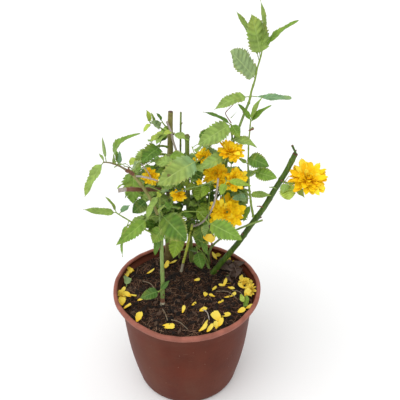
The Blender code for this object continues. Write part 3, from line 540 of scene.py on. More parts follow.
class KerriaStage(bpy.types.PropertyGroup):
    """The floor, lights and camera."""
    key_strength: bpy.props.FloatProperty(
        name="Key Strength", description="Strength of the soft light above the front left", default=1.5,
        min=0.0)
    key_spread: bpy.props.FloatProperty(
        name="Key Spread", description="How wide the soft light is", default=math.radians(70.0), min=0.0,
        max=math.pi, subtype="ANGLE", unit="ROTATION")
    sky_strength: bpy.props.FloatProperty(
        name="Sky Strength", description="Strength of the even light", default=0.80, min=0.0)
    floor: bpy.props.FloatVectorProperty(
        name="Floor", description="Colour of the floor", subtype="COLOR", size=3,
        min=0.0, max=1.0, default=(0.92, 0.92, 0.92))


def linear(colour):
    """A colour of 0 to 255, as seen, turned into the linear values that shaders take."""
    parts = np.asarray(colour, float) / 255.0
    bright = ((parts + 0.055) / 1.055) ** 2.4
    return tuple(float(v) for v in np.where(parts <= 0.04045, parts / 12.92, bright))


def direction(heading, climb):
    """The unit vectors of headings and climbs in degrees, from numbers or from arrays."""
    turn, rise = np.radians(heading), np.radians(climb)
    parts = (np.cos(rise) * np.cos(turn), np.cos(rise) * np.sin(turn), np.sin(rise))
    return np.stack(np.broadcast_arrays(*parts), axis=-1)


def level_across(heading):
    """The level unit vectors to the left of headings in degrees."""
    return direction(np.add(heading, 90.0), 0.0)


def full_turn(count):
    """The angles of a number of even steps round a circle."""
    return 2.0 * math.pi * np.arange(count) / count


def spokes(first, second, turn):
    """Directions turned by angles from a first one towards a second one."""
    turn = np.asarray(turn)[..., None]
    return first * np.cos(turn) + second * np.sin(turn)


def arched(share):
    """How far a bow stands out at a share of its length: 4 s (1 - s), which is 1 at the middle."""
    return 4.0 * share * (1.0 - share)


def eased(share):
    """A share that sets out and comes to rest gently: 3 s^2 - 2 s^3."""
    return share * share * (3.0 - 2.0 * share)


def between(start, end, share):
    """The places at shares of the way from a start to an end."""
    return start + (end - start) * np.asarray(share)[..., None]


def unit(vectors):
    """Vectors scaled to a length of one along their last axis."""
    return vectors / np.maximum(np.linalg.norm(vectors, axis=-1, keepdims=True), 1e-9)


def path_point(limb, share):
    """The place on a limb's middle line: from foot to tip in a line, plus the bow times 4 s (1 - s)."""
    s = np.asarray(share, float)[..., None]
    foot, tip, bow = (np.asarray(place, float) for place in (limb.foot, limb.tip, limb.bow))
    return foot + (tip - foot) * s + bow * arched(s)


def path_radius(limb, share):
    """A limb's radius at a share of its length."""
    return limb.foot_radius + (limb.tip_radius - limb.foot_radius) * np.asarray(share, float)


def limb_length(limb):
    """How far a limb's tip is from its foot."""
    return float(np.linalg.norm(np.subtract(limb.tip, limb.foot)))


def knees(travel, spacing):
    """The zigzag of a stem from node to node, from -0.5 to 0.5: arccos(cos(pi x / spacing)) / pi - 0.5."""
    return np.arccos(np.cos(travel * math.pi / spacing)) / math.pi - 0.5


def node_swell(travel, spacing, spread):
    """The swelling of a stem at its nodes: exp(-d^2 / spread), where d is the way to the nearest node."""
    return np.exp(-(np.mod(travel, spacing) - spacing / 2.0) ** 2 / spread)


def seat(limb, share, towards, radius):
    """The place just clear of a limb's bark, or of its cut tip, where a stem towards a place starts."""
    slope = np.subtract(limb.tip, limb.foot) + np.asarray(limb.bow, float) * (4.0 - 8.0 * share)
    axis = unit(slope)
    middle = path_point(limb, share)
    way = unit(np.asarray(towards, float) - middle)
    along = float(way @ axis)
    if share >= 1.0:
        return middle + axis * (GAP + radius * math.sqrt(max(0.0, 1.0 - along * along)))
    aside = unit(way - axis * along)
    return middle + aside * (float(path_radius(limb, share)) + GAP + radius * abs(along))


def onward(tip, bow):
    """The place towards which a bowed path sets out from its foot."""
    return np.asarray(tip, float) + 4.0 * np.asarray(bow, float)


def all_limbs():
    """The canes and the boughs, with each bough's foot seated on the limb that carries it."""
    limbs = dict(CANES)
    for name, (carrier, share, bough) in BOUGHS.items():
        foot = seat(limbs[carrier], share, onward(bough.tip, bough.bow), bough.foot_radius)
        limbs[name] = bough._replace(foot=tuple(foot))
    return limbs


def mass_stem(plan, limbs):
    """The main stem of a mass, from its seat on the limb that carries it to its tip."""
    foot = BASAL_SHOOT_FOOT
    if plan.limb:
        foot = tuple(seat(limbs[plan.limb], plan.share, onward(plan.tip, plan.bow), plan.radius))
    return Limb(foot, plan.tip, plan.bow, plan.radius, STEM_TIP_RADIUS, plan.twig)


# Odd numbers that scatter the places of the noise lattice, which starts far below any place
SCRAMBLERS = np.array((374761393, 668265263, 2246822519), np.uint64)
LATTICE_START = 4096.0


def scramble(places, seed):
    """A fixed pseudo-random value from 0 to 1 for each whole-numbered place."""
    n = (places.astype(np.uint64) * SCRAMBLERS).sum(axis=-1) + np.uint64(seed) * np.uint64(3266489917)
    n = (n ^ (n >> np.uint64(13))) * np.uint64(1274126177)
    n = n ^ (n >> np.uint64(16))
    return (n & np.uint64(0xFFFF)).astype(float) / 0xFFFF


def value_noise(places, size, seed=0):
    """Smooth noise from -1 to 1: fixed random values on a lattice of a size, blended by 3 t^2 - 2 t^3."""
    scaled_places = np.asarray(places, float) / size + LATTICE_START
    cell = np.floor(scaled_places)
    t = eased(scaled_places - cell)
    total = 0.0
    for corner in np.ndindex(2, 2, 2):
        weight = np.where(corner, t, 1.0 - t).prod(axis=-1)
        total = total + weight * scramble(cell + corner, seed)
    return 2.0 * total - 1.0


def closed_tubes(rings, tones=0, uvs=(0.0, 0.0)):
    """Closed bodies from rings of shape (bodies, rows, loop, 3); the end rings are closed by one face.

    A ring runs anticlockwise when seen from where the rows lead, so that the faces point out. The
    tones are the material of each quad, of shape (bodies, rows - 1, loop)."""
    count, rows, loop = rings.shape[:3]
    index = np.arange(count * rows * loop).reshape(count, rows, loop)
    ahead = np.roll(index, -1, axis=2)
    quads = np.stack([index[:, :-1], ahead[:, :-1], ahead[:, 1:], index[:, 1:]], axis=-1).reshape(-1, 4)
    caps = np.concatenate([index[:, 0, ::-1], index[:, -1]])
    tones = np.broadcast_to(tones, (count, rows - 1, loop))
    tones = np.concatenate([tones.ravel(), tones[:, 0, 0], tones[:, -1, 0]])
    uvs = np.broadcast_to(uvs, (count, rows, loop, 2)).reshape(-1, 2)
    return Shape(rings.reshape(-1, 3), quads, caps, uvs, tones)


def tube_rings(points, radii, sides):
    """Rings round a path: each point plus its radius times the turning pair of cross directions."""
    tangent = unit(np.gradient(points, axis=0))
    reference = np.eye(3)[int(np.argmin(np.abs(tangent.mean(axis=0))))]
    left = unit(np.cross(tangent, reference))
    up = np.cross(tangent, left)
    radii = np.broadcast_to(np.asarray(radii, float).reshape(len(points), -1), (len(points), sides))
    return points[:, None] + spokes(left[:, None], up[:, None], full_turn(sides)) * radii[..., None]


def cross_pair(along):
    """A level direction across each of some others, and the one at right angles to both."""
    left = unit(np.cross(along, UP))
    return left, np.cross(along, left)


def placed(name, data):
    """An object of its data, linked to the scene."""
    thing = bpy.data.objects.new(name, data)
    bpy.context.scene.collection.objects.link(thing)
    return thing


def joined_mesh(name, shapes, materials, sharp):
    """One mesh in metres from closed shapes; edges that bend more than an angle are drawn sharp."""
    faces, start = [], 0
    for shape in shapes:
        faces += (shape.quads + start).tolist() + (shape.caps + start).tolist()
        start += len(shape.points)
    points, tones, uvs = (np.concatenate([getattr(shape, part) for shape in shapes])
                          for part in ("points", "tones", "uvs"))
    mesh = bpy.data.meshes.new(name)
    mesh.from_pydata((points * MM).tolist(), [], faces)
    for material in materials:
        mesh.materials.append(material)
    mesh.polygons.foreach_set("material_index", tones.astype(np.int32))
    mesh.polygons.foreach_set("use_smooth", np.ones(len(faces), bool))
    corners = np.empty(len(mesh.loops), np.int32)
    mesh.loops.foreach_get("vertex_index", corners)
    layer = mesh.uv_layers.new(name="Place")
    layer.data.foreach_set("uv", uvs[corners].astype(np.float32).ravel())
    mesh.set_sharp_from_angle(angle=math.radians(sharp))
    mesh.update()
    return mesh


def made_piece(name, shapes, materials, slot, replaced=(), sharp=50.0):
    """One object in its place from closed shapes; it rides on the plant's one body."""
    thing = placed(name, joined_mesh(name, shapes, materials, sharp))
    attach(thing, BODY)
    for node in replaced:
        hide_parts(node)
    return thing


# Where a mix node has its two colours and its result
MIX_INPUTS = (6, 7)
MIX_OUTPUT = 2


class Tree:
    """The node tree of one Principled material, with short calls for the nodes that it is built from."""

    def __init__(self, name, colour, roughness, specular):
        self.material = bpy.data.materials.new(name)
        self.material.use_nodes = True
        self.tree = self.material.node_tree
        self.shader = self.tree.nodes["Principled BSDF"]
        self.shader.inputs["Base Color"].default_value = (*colour, 1.0)
        self.shader.inputs["Roughness"].default_value = roughness
        self.shader.inputs["Specular IOR Level"].default_value = specular

    def link(self, output, target):
        """Joins two sockets."""
        self.tree.links.new(output, target)

    def node(self, kind, vector=None, **values):
        """A new node of a kind, fed by a coordinate, with its inputs set by their names."""
        node = self.tree.nodes.new(f"ShaderNode{kind}")
        if vector:
            self.link(vector, node.inputs["Vector"])
        for name, value in values.items():
            node.inputs[name].default_value = value
        return node

    def place(self, kind="Object", scale=(1.0, 1.0, 1.0)):
        """Coordinates of a kind, stretched by a scale."""
        return self.node("Mapping", self.node("TexCoord").outputs[kind], Scale=scale).outputs["Vector"]

    def noise(self, where, size, detail=3.0, roughness=0.5, distortion=0.0):
        """Noise whose features are about a size in metres across."""
        look = {"Detail": detail, "Roughness": roughness, "Distortion": distortion}
        return self.node("TexNoise", where, Scale=1.0 / size, **look).outputs["Fac"]

    def cells(self, where, size):
        """The distance to the nearest of scattered points about a size apart."""
        return self.node("TexVoronoi", where, Scale=1.0 / size).outputs["Distance"]

    def curve(self, value, low, high, start=0.0, end=1.0):
        """A value's stretch from low to high, spread over start to end and clamped."""
        reach = {"From Min": low, "From Max": high, "To Min": start, "To Max": end}
        node = self.node("MapRange", **reach)
        self.link(value, node.inputs["Value"])
        return node.outputs["Result"]

    def patches(self, size, low, high, start=0.0, end=1.0, detail=3.0, scale=(1.0, 1.0, 1.0)):
        """Noise in the object's space, stretched from low to high over start to end."""
        return self.curve(self.noise(self.place(scale=scale), size, detail), low, high, start, end)

    def maths(self, operation, first, second=None):
        """The sum, product or other result of two values, each a socket or a number."""
        node = self.node("Math")
        node.operation = operation
        for socket, value in zip(node.inputs, (first, second)):
            if isinstance(value, (int, float)):
                socket.default_value = value
            elif value is not None:
                self.link(value, socket)
        return node.outputs["Value"]

    def axis(self, where, letter):
        """One axis of a coordinate."""
        return self.node("SeparateXYZ", where).outputs[letter]

    def mixed(self, factor, first, second):
        """Two colours mixed by a factor; each is a socket or a colour."""
        node = self.node("Mix")
        node.data_type = "RGBA"
        self.link(factor, node.inputs["Factor"])
        for index, colour in zip(MIX_INPUTS, (first, second)):
            socket = node.inputs[index]
            if isinstance(colour, tuple):
                socket.default_value = (*colour, 1.0)
            else:
                self.link(colour, socket)
        return node.outputs[MIX_OUTPUT]

    def paint(self, colour):
        """Sets the base colour."""
        self.link(colour, self.shader.inputs["Base Color"])

    def gloss(self, value):
        """Sets the roughness."""
        self.link(value, self.shader.inputs["Roughness"])

    def bump(self, height, depth, strength=1.0):
        """Adds fine relief of a depth in metres."""
        node = self.node("Bump", Strength=strength, Distance=depth)
        self.link(height, node.inputs["Height"])
        self.link(node.outputs["Normal"], self.shader.inputs["Normal"])


def mixed_tone(first, second, share):
    """A colour part of the way from one to another."""
    return tuple(a + (b - a) * share for a, b in zip(first, second))


def scaled(colour, factor):
    """A colour made lighter or darker."""
    return tuple(min(1.0, part * factor) for part in colour)


def bark_material(kind):
    """Smooth young bark: a base colour with paler streaks along the cane and darker lenticels."""
    base, streak, spot, _ = (linear(colour) for colour in BARKS[kind])
    made = Tree(f"bark_{kind}", base, 0.5, 0.35)
    long_way = made.place(scale=(1.0, 1.0, 0.12))
    streaks = made.curve(made.noise(long_way, 0.0018), 0.42, 0.68)
    patches = made.patches(0.022, 0.35, 0.70, 0.15, 0.9, detail=2.0)
    colour = made.mixed(made.maths("MULTIPLY", streaks, patches), base, streak)
    dots = made.curve(made.cells(made.place(scale=(1.0, 1.0, 0.6)), 0.0042), 0.06, 0.16, 0.65, 0.0)
    stains = made.patches(0.014, 0.60, 0.74, 0.0, 0.7, detail=4.0)
    colour = made.mixed(made.maths("MAXIMUM", dots, stains), colour, spot)
    # Darker towards the soil: partly browner bark, partly painted shade under the crown.
    if kind in DARK_FEET:
        height = made.axis(made.place(), "Z")
        low = made.curve(height, SOIL_LEVEL * MM, (SOIL_LEVEL + DARK_FOOT_HEIGHT) * MM, 0.85, 0.0)
        colour = made.mixed(low, colour, linear(DARK_FEET[kind]))
    made.paint(colour)
    made.gloss(made.curve(streaks, 0.0, 1.0, 0.42, 0.62))
    made.bump(made.noise(long_way, 0.0012, 4.0), 0.0004, 0.6)
    return made.material


def cut_material(kind):
    """A weathered cut end, with the darker rings and cracks of dry pith."""
    *_, base = (linear(colour) for colour in BARKS[kind])
    made = Tree(f"cut_{kind}", base, 0.85, 0.2)
    grain = made.patches(0.0012, 0.35, 0.7, detail=4.0)
    made.paint(made.mixed(grain, scaled(base, 0.6), scaled(base, 1.15)))
    made.bump(grain, 0.0004, 0.7)
    return made.material


def pale_foot_material():
    """The whitish foot of a cane, where the bark is bleached near the soil."""
    base = linear(BLEACHED_COLOUR)
    made = Tree("bleached_foot", base, 0.8, 0.2)
    grain = made.noise(made.place(scale=(1.0, 1.0, 0.2)), 0.0016)
    made.paint(made.mixed(made.curve(grain, 0.35, 0.7), scaled(base, 0.62), base))
    made.bump(grain, 0.0003, 0.5)
    return made.material


def leaf_material(tone, underside):
    """A leaf face: its tone with soft mottling and lines along the side veins. On the upper face the lines
    are painted shade, darker in the sunken vein grooves; on the underside they are the paler veins.
    """
    base = linear(LEAF_TONES[tone][underside])
    made = Tree(f"{'under' if underside else 'upper'}_{tone}", base, 0.62 if underside else 0.5, 0.3)
    sun_colour, edge_colour, rib_colour = DRY_COLOURS if tone == "dead" else LIVE_COLOURS
    where = made.place("UV")
    along, across = made.axis(where, "X"), made.maths("ABSOLUTE", made.axis(where, "Y"))
    vein = made.maths("PINGPONG", along, 0.5)
    fine, broad = made.curve(vein, 0.0, 0.10, 0.50, 0.0), made.curve(vein, 0.0, 0.34, 0.34, 0.0)
    fading = made.curve(across, 0.75, 1.0, 1.0, 0.4)
    line = made.maths("MULTIPLY", made.maths("MAXIMUM", fine, broad), fading)
    colour = made.mixed(made.patches(0.009, 0.32, 0.70), scaled(base, 0.74), scaled(base, 1.20))
    sunned = made.patches(0.016, 0.52, 0.72, 0.0, 0.55)
    colour = made.mixed(sunned, colour, mixed_tone(base, linear(sun_colour), 0.5))
    near_edge = made.curve(across, 0.72, 1.0)
    edge = made.maths("MULTIPLY", near_edge, made.patches(0.012, 0.45, 0.62, detail=2.0))
    colour = made.mixed(made.maths("MULTIPLY", edge, 0.6), colour, linear(edge_colour))
    if tone == "worn":
        # The worn tone: a painted blue-green sheen of reflected sky near the root, and brown blemish spots
        # over the blade.
        root = made.curve(along, 0.4, 2.6, 0.75, 0.0)
        colour = made.mixed(root, colour, linear(LEAF_TONES["sheen"][0]))
        colour = made.mixed(made.patches(0.0075, 0.66, 0.72, 0.0, 0.85, 4.0), colour, linear(WORN_SPOTS))
    # The vein lines: painted shade in the grooves on the upper face, the paler veins' own colour on the
    # underside.
    made.paint(made.mixed(line, colour, linear(rib_colour) if underside else scaled(base, 0.50)))
    made.bump(made.noise(made.place(), 0.0016), 0.00025, 0.5)
    return made.material


def plain_material(name, colour, roughness=0.6, size=0.006, spread=0.14, relief=0.0002):
    """A plain colour with a little mottling and fine relief."""
    base = linear(colour)
    made = Tree(name, base, roughness, 0.3)
    mottle = made.noise(made.place(), size)
    tone = made.curve(mottle, 0.3, 0.7)
    made.paint(made.mixed(tone, scaled(base, 1.0 - spread), scaled(base, 1.0 + spread)))
    made.bump(mottle, relief, 0.5)
    return made.material


def petal_material(name, tone):
    """A petal: its tone, deeper towards the root, with fine lines along it."""
    base = linear(tone)
    made = Tree(name, base, 0.65, 0.2)
    where = made.place("UV")
    deep = made.curve(made.axis(where, "X"), 0.0, 0.55, 0.8, 0.0)
    lines = made.noise(made.place("UV", (1.5, 9.0, 1.0)), 1.0, 2.0)
    colour = made.mixed(made.curve(lines, 0.4, 0.7, 0.0, 0.4), base, scaled(base, 0.82))
    made.paint(made.mixed(deep, colour, linear(PETAL_HEART)))
    made.bump(lines, 0.0003, 0.4)
    return made.material


def pot_material(look):
    """Moulded plastic, dull and dusty: grey smears, heavier on the left side that faces the light and low
    down, are partly dust and partly a painted highlight; with scuffs and specks of soil.
    """
    plastic, dust = tuple(look.plastic), tuple(look.dust)
    made = Tree("pot_plastic", plastic, 0.6, 0.11)
    where = made.place()
    height = made.axis(where, "Z")
    tone = made.curve(made.noise(where, 0.045, 4.0, 0.6), 0.30, 0.72)
    colour = made.mixed(tone, scaled(plastic, 0.86), scaled(plastic, 1.22))
    dust_and_sheen_patches = made.noise(made.place(scale=(1.0, 1.0, 0.55)), 0.055, 5.0, 0.62, 0.4)
    # The grey veil is heavier on the left, which faces the light, and low down: partly dust, partly a
    # painted highlight.
    side = made.curve(made.axis(where, "X"), -0.09, 0.03, 0.70, 0.16)
    low = made.curve(height, 0.0, 0.07, 0.35, 0.0)
    dust_and_sheen = made.maths("MULTIPLY", made.curve(dust_and_sheen_patches, 0.36, 0.68), made.maths("ADD", side, low))
    colour = made.mixed(dust_and_sheen, colour, dust)
    scuffs = made.patches(0.012, 0.66, 0.74, 0.0, 0.35, 4.0, (1.0, 1.0, 6.0))
    colour = made.mixed(scuffs, colour, scaled(dust, 1.2))
    specks = made.curve(made.cells(where, 0.011), 0.035, 0.06, 1.0, 0.0)
    colour = made.mixed(made.maths("MULTIPLY", specks, 0.5), colour, linear(SPECK_COLOUR))
    blots = made.curve(made.cells(made.place(scale=(1.0, 1.0, 2.2)), 0.019), 0.05, 0.09, 0.8, 0.0)
    made.paint(made.mixed(blots, colour, linear(BLOT_COLOUR)))
    made.gloss(made.curve(dust_and_sheen, 0.0, 1.0, 0.48, 0.72))
    made.bump(made.noise(where, 0.0035, 5.0), 0.0003, 0.45)
    return made.material


def lip_sheen_material(look):
    """The lip: a patchy paler red that paints the highlight along the rolled lip, with scuffs along its
    edge.
    """
    lip = tuple(look.lip)
    made = Tree("pot_lip", lip, 0.6, 0.2)
    patchy = made.patches(0.014, 0.28, 0.72, detail=4.0)
    colour = made.mixed(patchy, scaled(lip, 0.74), scaled(lip, 1.22))
    scuffs = made.patches(0.004, 0.58, 0.70, 0.0, 0.5, 4.0, (1.0, 1.0, 3.0))
    made.paint(made.mixed(scuffs, colour, scaled(lip, 0.55)))
    made.bump(made.noise(made.place(), 0.003, 4.0), 0.0004, 0.5)
    return made.material


def soil_material(name):
    """Dark potting mix: near-black peat with brown fibres of many directions, and near-black patches that
    paint the shade in its pits.
    """
    mix, peat, crumb, fibre, pit_shade_colour = (linear(colour) for colour in SOIL_COLOURS)
    made = Tree(name, mix, 0.95, 0.12)
    where = made.place()
    grain = made.noise(where, 0.0032, 6.0, 0.66)
    colour = made.mixed(made.curve(grain, 0.36, 0.66), peat, crumb)
    for stretch in ((1.0, 0.16, 1.0), (0.16, 1.0, 1.0)):
        thread = made.noise(made.place(scale=stretch), 0.0013, 3.0, 0.5, 0.6)
        colour = made.mixed(made.curve(thread, 0.60, 0.72, 0.0, 0.65), colour, fibre)
    # Near-black patches: painted shade in the pits between crumbs.
    pit_shade = made.curve(made.noise(where, 0.008), 0.30, 0.46, 0.75, 0.0)
    made.paint(made.mixed(pit_shade, colour, pit_shade_colour))
    made.bump(grain, 0.0012, 0.9)
    return made.material


def turned_rings(profile, segments, wobble):
    """Rings of a turned body: each profile point swept clockwise about Z, so that the faces point out."""
    radius, height = (np.array(part, float) for part in zip(*profile))
    turn = -full_turn(segments)
    radius = np.broadcast_to(radius[:, None], (len(radius), segments))
    height = np.broadcast_to(height[:, None], radius.shape)
    radius, height = wobble(radius, height, turn)
    return np.stack([radius * np.cos(turn), radius * np.sin(turn), height], axis=-1)[None]


def arc(centre, radius, start, end, steps):
    """Points of an arc in a profile, by the angle from outward level up."""
    for step in range(steps + 1):
        turn = math.radians(start + (end - start) * step / steps)
        yield centre[0] + radius * math.cos(turn), centre[1] + radius * math.sin(turn)


def outer_radius(height):
    """The pot's outer radius below its lip: an even taper from the foot up to the shoulder."""
    share = (height - FOOT_ROUNDING) / (SHOULDER - FOOT_ROUNDING)
    return BASE_RADIUS + (POT_TAPER_TOP - BASE_RADIUS) * share


def barrel(height):
    """How far the soft wall bulges low down and draws in below the lip: a slow sine up the wall."""
    return max(-0.6 * BARREL, BARREL * math.sin(1.36 * math.pi * height / SHOULDER))


def pot_inside():
    """The pot's section inside: floor, tapered wall and the widening under the lip."""
    step = SHOULDER - 0.8
    yield 0.6, FLOOR
    yield outer_radius(FLOOR) - WALL - INNER_FOOT, FLOOR
    for height in np.linspace(FLOOR + INNER_FOOT, step, 12):
        yield outer_radius(height) - WALL, height
    low = outer_radius(step) - WALL
    for share in np.linspace(0.2, 1.0, 5):
        yield low + (RIM_RADIUS - WALL - low) * eased(share), step + 4.0 * share


def pot_lip():
    """The lip's section: its rolled edge and the collar that ends in a small round."""
    edge = POT_HEIGHT - LIP_ROUNDING
    roll = RIM_RADIUS - LIP_ROUNDING
    yield RIM_RADIUS - WALL - 1.2, edge - 2.0
    yield from arc((roll - 0.8, edge), LIP_ROUNDING + 0.3, 180.0, 90.0, 6)
    yield from arc((roll, edge), LIP_ROUNDING, 80.0, 0.0, 6)
    yield RIM_RADIUS - 0.15, POT_HEIGHT - 5.0
    low_round = (RIM_RADIUS - 2.4, LIP_EDGE + LIP_EDGE_ROUNDING)
    yield from arc(low_round, LIP_EDGE_ROUNDING, 0.0, -70.0, 5)


def pot_outside():
    """The pot's section outside: the draw-in below the lip, the wall, the foot and the underside."""
    under_lip, wall_top = RIM_RADIUS - 2.2, SHOULDER - 0.9
    draw_in = under_lip - POT_TAPER_TOP - barrel(SHOULDER)
    for share in np.linspace(0.25, 1.0, 7):
        yield under_lip - draw_in * (1.0 - (1.0 - share) ** 2), LIP_EDGE - (LIP_EDGE - wall_top) * share
    for share in np.linspace(0.03, 1.0, 26):
        height = wall_top - (wall_top - FOOT_ROUNDING) * share
        ring = sum(out * math.exp(-((height - level) / half) ** 2) for level, out, half in MOULD_RINGS)
        yield outer_radius(height) + barrel(height) + ring, height
    yield from arc((BASE_RADIUS - FOOT_ROUNDING, FOOT_ROUNDING), FOOT_ROUNDING, -10.0, -90.0, 8)
    yield from UNDERSIDE


def lip_wobble(radius, height, turn):
    """The unevenness of thin plastic: low waves of the wall, ripples of the lip, and its sag in front."""
    lip_share = np.clip((height - SHOULDER) / LIP_DEPTH, 0.0, 1.0)
    wall_share = np.clip(height / SHOULDER, 0.0, 1.0)
    wave = 0.5 * np.sin(3.0 * turn + 0.7) + 0.3 * np.sin(7.0 * turn + 2.0) + 0.2 * np.sin(13.0 * turn)
    ripple = 0.45 * np.sin(5.0 * turn + 1.0) + 0.25 * np.sin(17.0 * turn) + 0.2 * np.sin(29.0 * turn + 2.0)
    front = np.maximum(0.0, -np.sin(turn - 0.12)) ** 3
    sag = LIP_SAG * front * np.clip((height - SHOULDER + SAG_START) / 6.0, 0.0, 1.0)
    return radius + wave * (0.35 * wall_share + 0.45 * lip_share), height + lip_share * ripple - sag


def drain_drills():
    """Upright round bodies where the drain holes go."""
    places = direction(360.0 * (np.arange(DRAIN_HOLES) + 0.5) / DRAIN_HOLES, 0.0) * DRAIN_RING_RADIUS
    circle = direction(360.0 * np.arange(DRILL_SIDES) / DRILL_SIDES, 0.0) * DRAIN_HOLE_RADIUS
    heights = np.array(DRILL_SPAN)[:, None, None] * UP
    return closed_tubes(places[:, None, None] + circle + heights)


def bored(piece, drill):
    """Cuts a drill's bodies out of a piece, and takes the drill away."""
    cut = piece.modifiers.new("Drain holes", "BOOLEAN")
    cut.operation = "DIFFERENCE"
    cut.object = drill
    bpy.context.view_layer.update()
    graph = bpy.context.evaluated_depsgraph_get()
    mesh = bpy.data.meshes.new_from_object(piece.evaluated_get(graph))
    piece.modifiers.remove(cut)
    piece.data = mesh
    mesh.name = piece.name
    bpy.data.objects.remove(drill)


def make_pot(look):
    """The pot as a fine turned body with its drain holes cut out; its lip is painted paler as its
    highlight.
    """
    materials = [pot_material(look), lip_sheen_material(look)]
    profile = [*pot_inside(), *pot_lip(), *pot_outside()]
    rings = turned_rings(profile, look.segments, lip_wobble)
    radius, height = np.array(profile).T
    # Faces on the lip take the paler lip material, a painted highlight.
    on_lip = (height > POT_HEIGHT - 4.5) | ((radius > RIM_RADIUS - 2.4) & (height > LIP_EDGE - 0.6))
    tones = (on_lip[:-1] & on_lip[1:]).astype(int)[None, :, None]
    pot = made_piece("nursery_pot", [closed_tubes(rings, tones)], materials, "pot_plastic", ("pot",), 40.0)
    bored(pot, made_piece("drain_drills", [drain_drills()], materials, "pot_plastic"))


def soil_height(x, y):
    """How high the crumbs stand over the soil's level: broad swells, clods and grains, low at the wall."""
    places = np.stack([x, y, np.zeros_like(x)], axis=-1)
    swell = 0.9 * value_noise(places, 38.0, 3) + 0.7 * value_noise(places, 16.0, 4)
    clods = np.abs(value_noise(places, 6.5, 5)) * 1.4 + value_noise(places, 3.1, 6) * 0.8
    grains = value_noise(places, 1.6, 7) * 0.55
    edge = np.clip((SOIL_RADIUS - np.hypot(x, y)) / SOIL_EDGE, 0.0, 1.0)
    height = bpy.context.scene.kerria_soil.crumb_height / MM
    level = (0.62 + edge * (0.20 + 0.32 * (swell + clods + grains))) * height
    for across, away, reach in HOLLOWS:
        level = level - HOLLOW_DEPTH * np.exp(-((x - across) ** 2 + (y - away) ** 2) / reach ** 2)
    return np.maximum(LEAST_CRUMB, level)


def on_soil(places, lift):
    """Places across and away set on the crumbs that lie there, and lifted off them."""
    x, y = np.asarray(places, float).T[:2]
    return np.stack([x, y, SOIL_LEVEL + soil_height(x, y) + lift], axis=-1)


def make_soil(look):
    """The crumbled top of the soil: a grid bent to a disc by x sqrt(1 - y y / 2), raised by its height."""
    steps = look.grid + 1
    line = np.linspace(-1.0, 1.0, steps)
    u, v = np.meshgrid(line, line, indexing="ij")
    x = u * np.sqrt(1.0 - v * v / 2.0) * (SOIL_RADIUS + 0.9)
    y = v * np.sqrt(1.0 - u * u / 2.0) * (SOIL_RADIUS + 0.9)
    top = np.stack([x, y, SOIL_LEVEL + soil_height(x, y)], axis=-1).reshape(-1, 3)
    index = np.arange(steps * steps).reshape(steps, steps)
    corners = [index[:-1, :-1], index[1:, :-1], index[1:, 1:], index[:-1, 1:]]
    rim = np.concatenate([index[:-1, 0], index[-1, :-1], index[:0:-1, -1], index[0, :0:-1]])
    skirt = np.arange(len(rim)) + steps * steps
    walls = np.stack([rim, skirt, np.roll(skirt, -1), np.roll(rim, -1)], axis=-1)
    points = np.concatenate([top, top[rim] * (0.985, 0.985, 0.0) + UP * (SOIL_LEVEL + 0.02)])
    quads = np.concatenate([np.stack(corners, axis=-1).reshape(-1, 4), walls])
    uvs, tones = np.zeros((len(points), 2)), np.zeros(len(quads) + 1, int)
    shape = Shape(points, quads, skirt[None, ::-1], uvs, tones)
    made_piece("soil_surface", [shape], [soil_material("soil_crumbs")], "soil", (), 70.0)
    filling = frame["nodes"]["soil"]
    filling.data.materials.clear()
    filling.data.materials.append(soil_material("soil_filling"))


def scattered(count, seed):
    """Even seeded places on the soil, as arrays of x and y, and the dice for what lies there."""
    dice = np.random.default_rng(seed)
    radius = SOIL_RADIUS * SCATTER_REACH * np.sqrt(dice.random(count))
    turn = 2.0 * math.pi * dice.random(count)
    return radius * np.cos(turn), radius * np.sin(turn), dice


FIBRE_COLOURS = ((88, 58, 43), (120, 86, 65), (54, 36, 27), (152, 122, 98))
CHIP_COLOURS = ((30, 21, 16), (50, 35, 26), (20, 14, 11), (84, 65, 52))
CHIP_TILT = math.degrees(0.9)


def make_fibres(look):
    """Coir fibres: thin bent tubes on the crumbs; each curls by a quadratic and lifts at its ends."""
    count, rows, sides = look.fibres, 6, 3
    x, y, dice = scattered(count, 11)
    turn = 2.0 * math.pi * dice.random(count)
    length = 5.0 + 19.0 * dice.random(count) ** 1.8
    bend = (dice.random(count) - 0.5) * 0.9
    s = np.linspace(-0.5, 0.5, rows)
    run, aside = length[:, None] * s, length[:, None] * bend[:, None] * s * s
    px = x[:, None] + run * np.cos(turn)[:, None] - aside * np.sin(turn)[:, None]
    py = y[:, None] + run * np.sin(turn)[:, None] + aside * np.cos(turn)[:, None]
    shrink = np.minimum(1.0, (SOIL_RADIUS - 0.5) / np.maximum(np.hypot(px, py), 1.0))
    px, py = px * shrink, py * shrink
    lift = 0.15 + (dice.random(count)[:, None] - 0.3) * 3.2 * s * s + 0.5 * dice.random(count)[:, None]
    middle = np.stack([px, py, SOIL_LEVEL + soil_height(px, py) + lift], axis=-1)
    left, up = cross_pair(unit(np.gradient(middle, axis=1)))
    radius = (0.13 + 0.22 * dice.random(count) ** 2)[:, None, None, None]
    rings = middle[:, :, None] + radius * spokes(left[:, :, None], up[:, :, None], full_turn(sides))
    tones = dice.choice(len(FIBRE_COLOURS), count, p=(0.36, 0.26, 0.26, 0.12))[:, None, None]
    materials = [plain_material(f"fibre_{index}", colour, 0.85, 0.004, 0.2)
                 for index, colour in enumerate(FIBRE_COLOURS)]
    made_piece("soil_fibres", [closed_tubes(rings, tones)], materials, "soil")


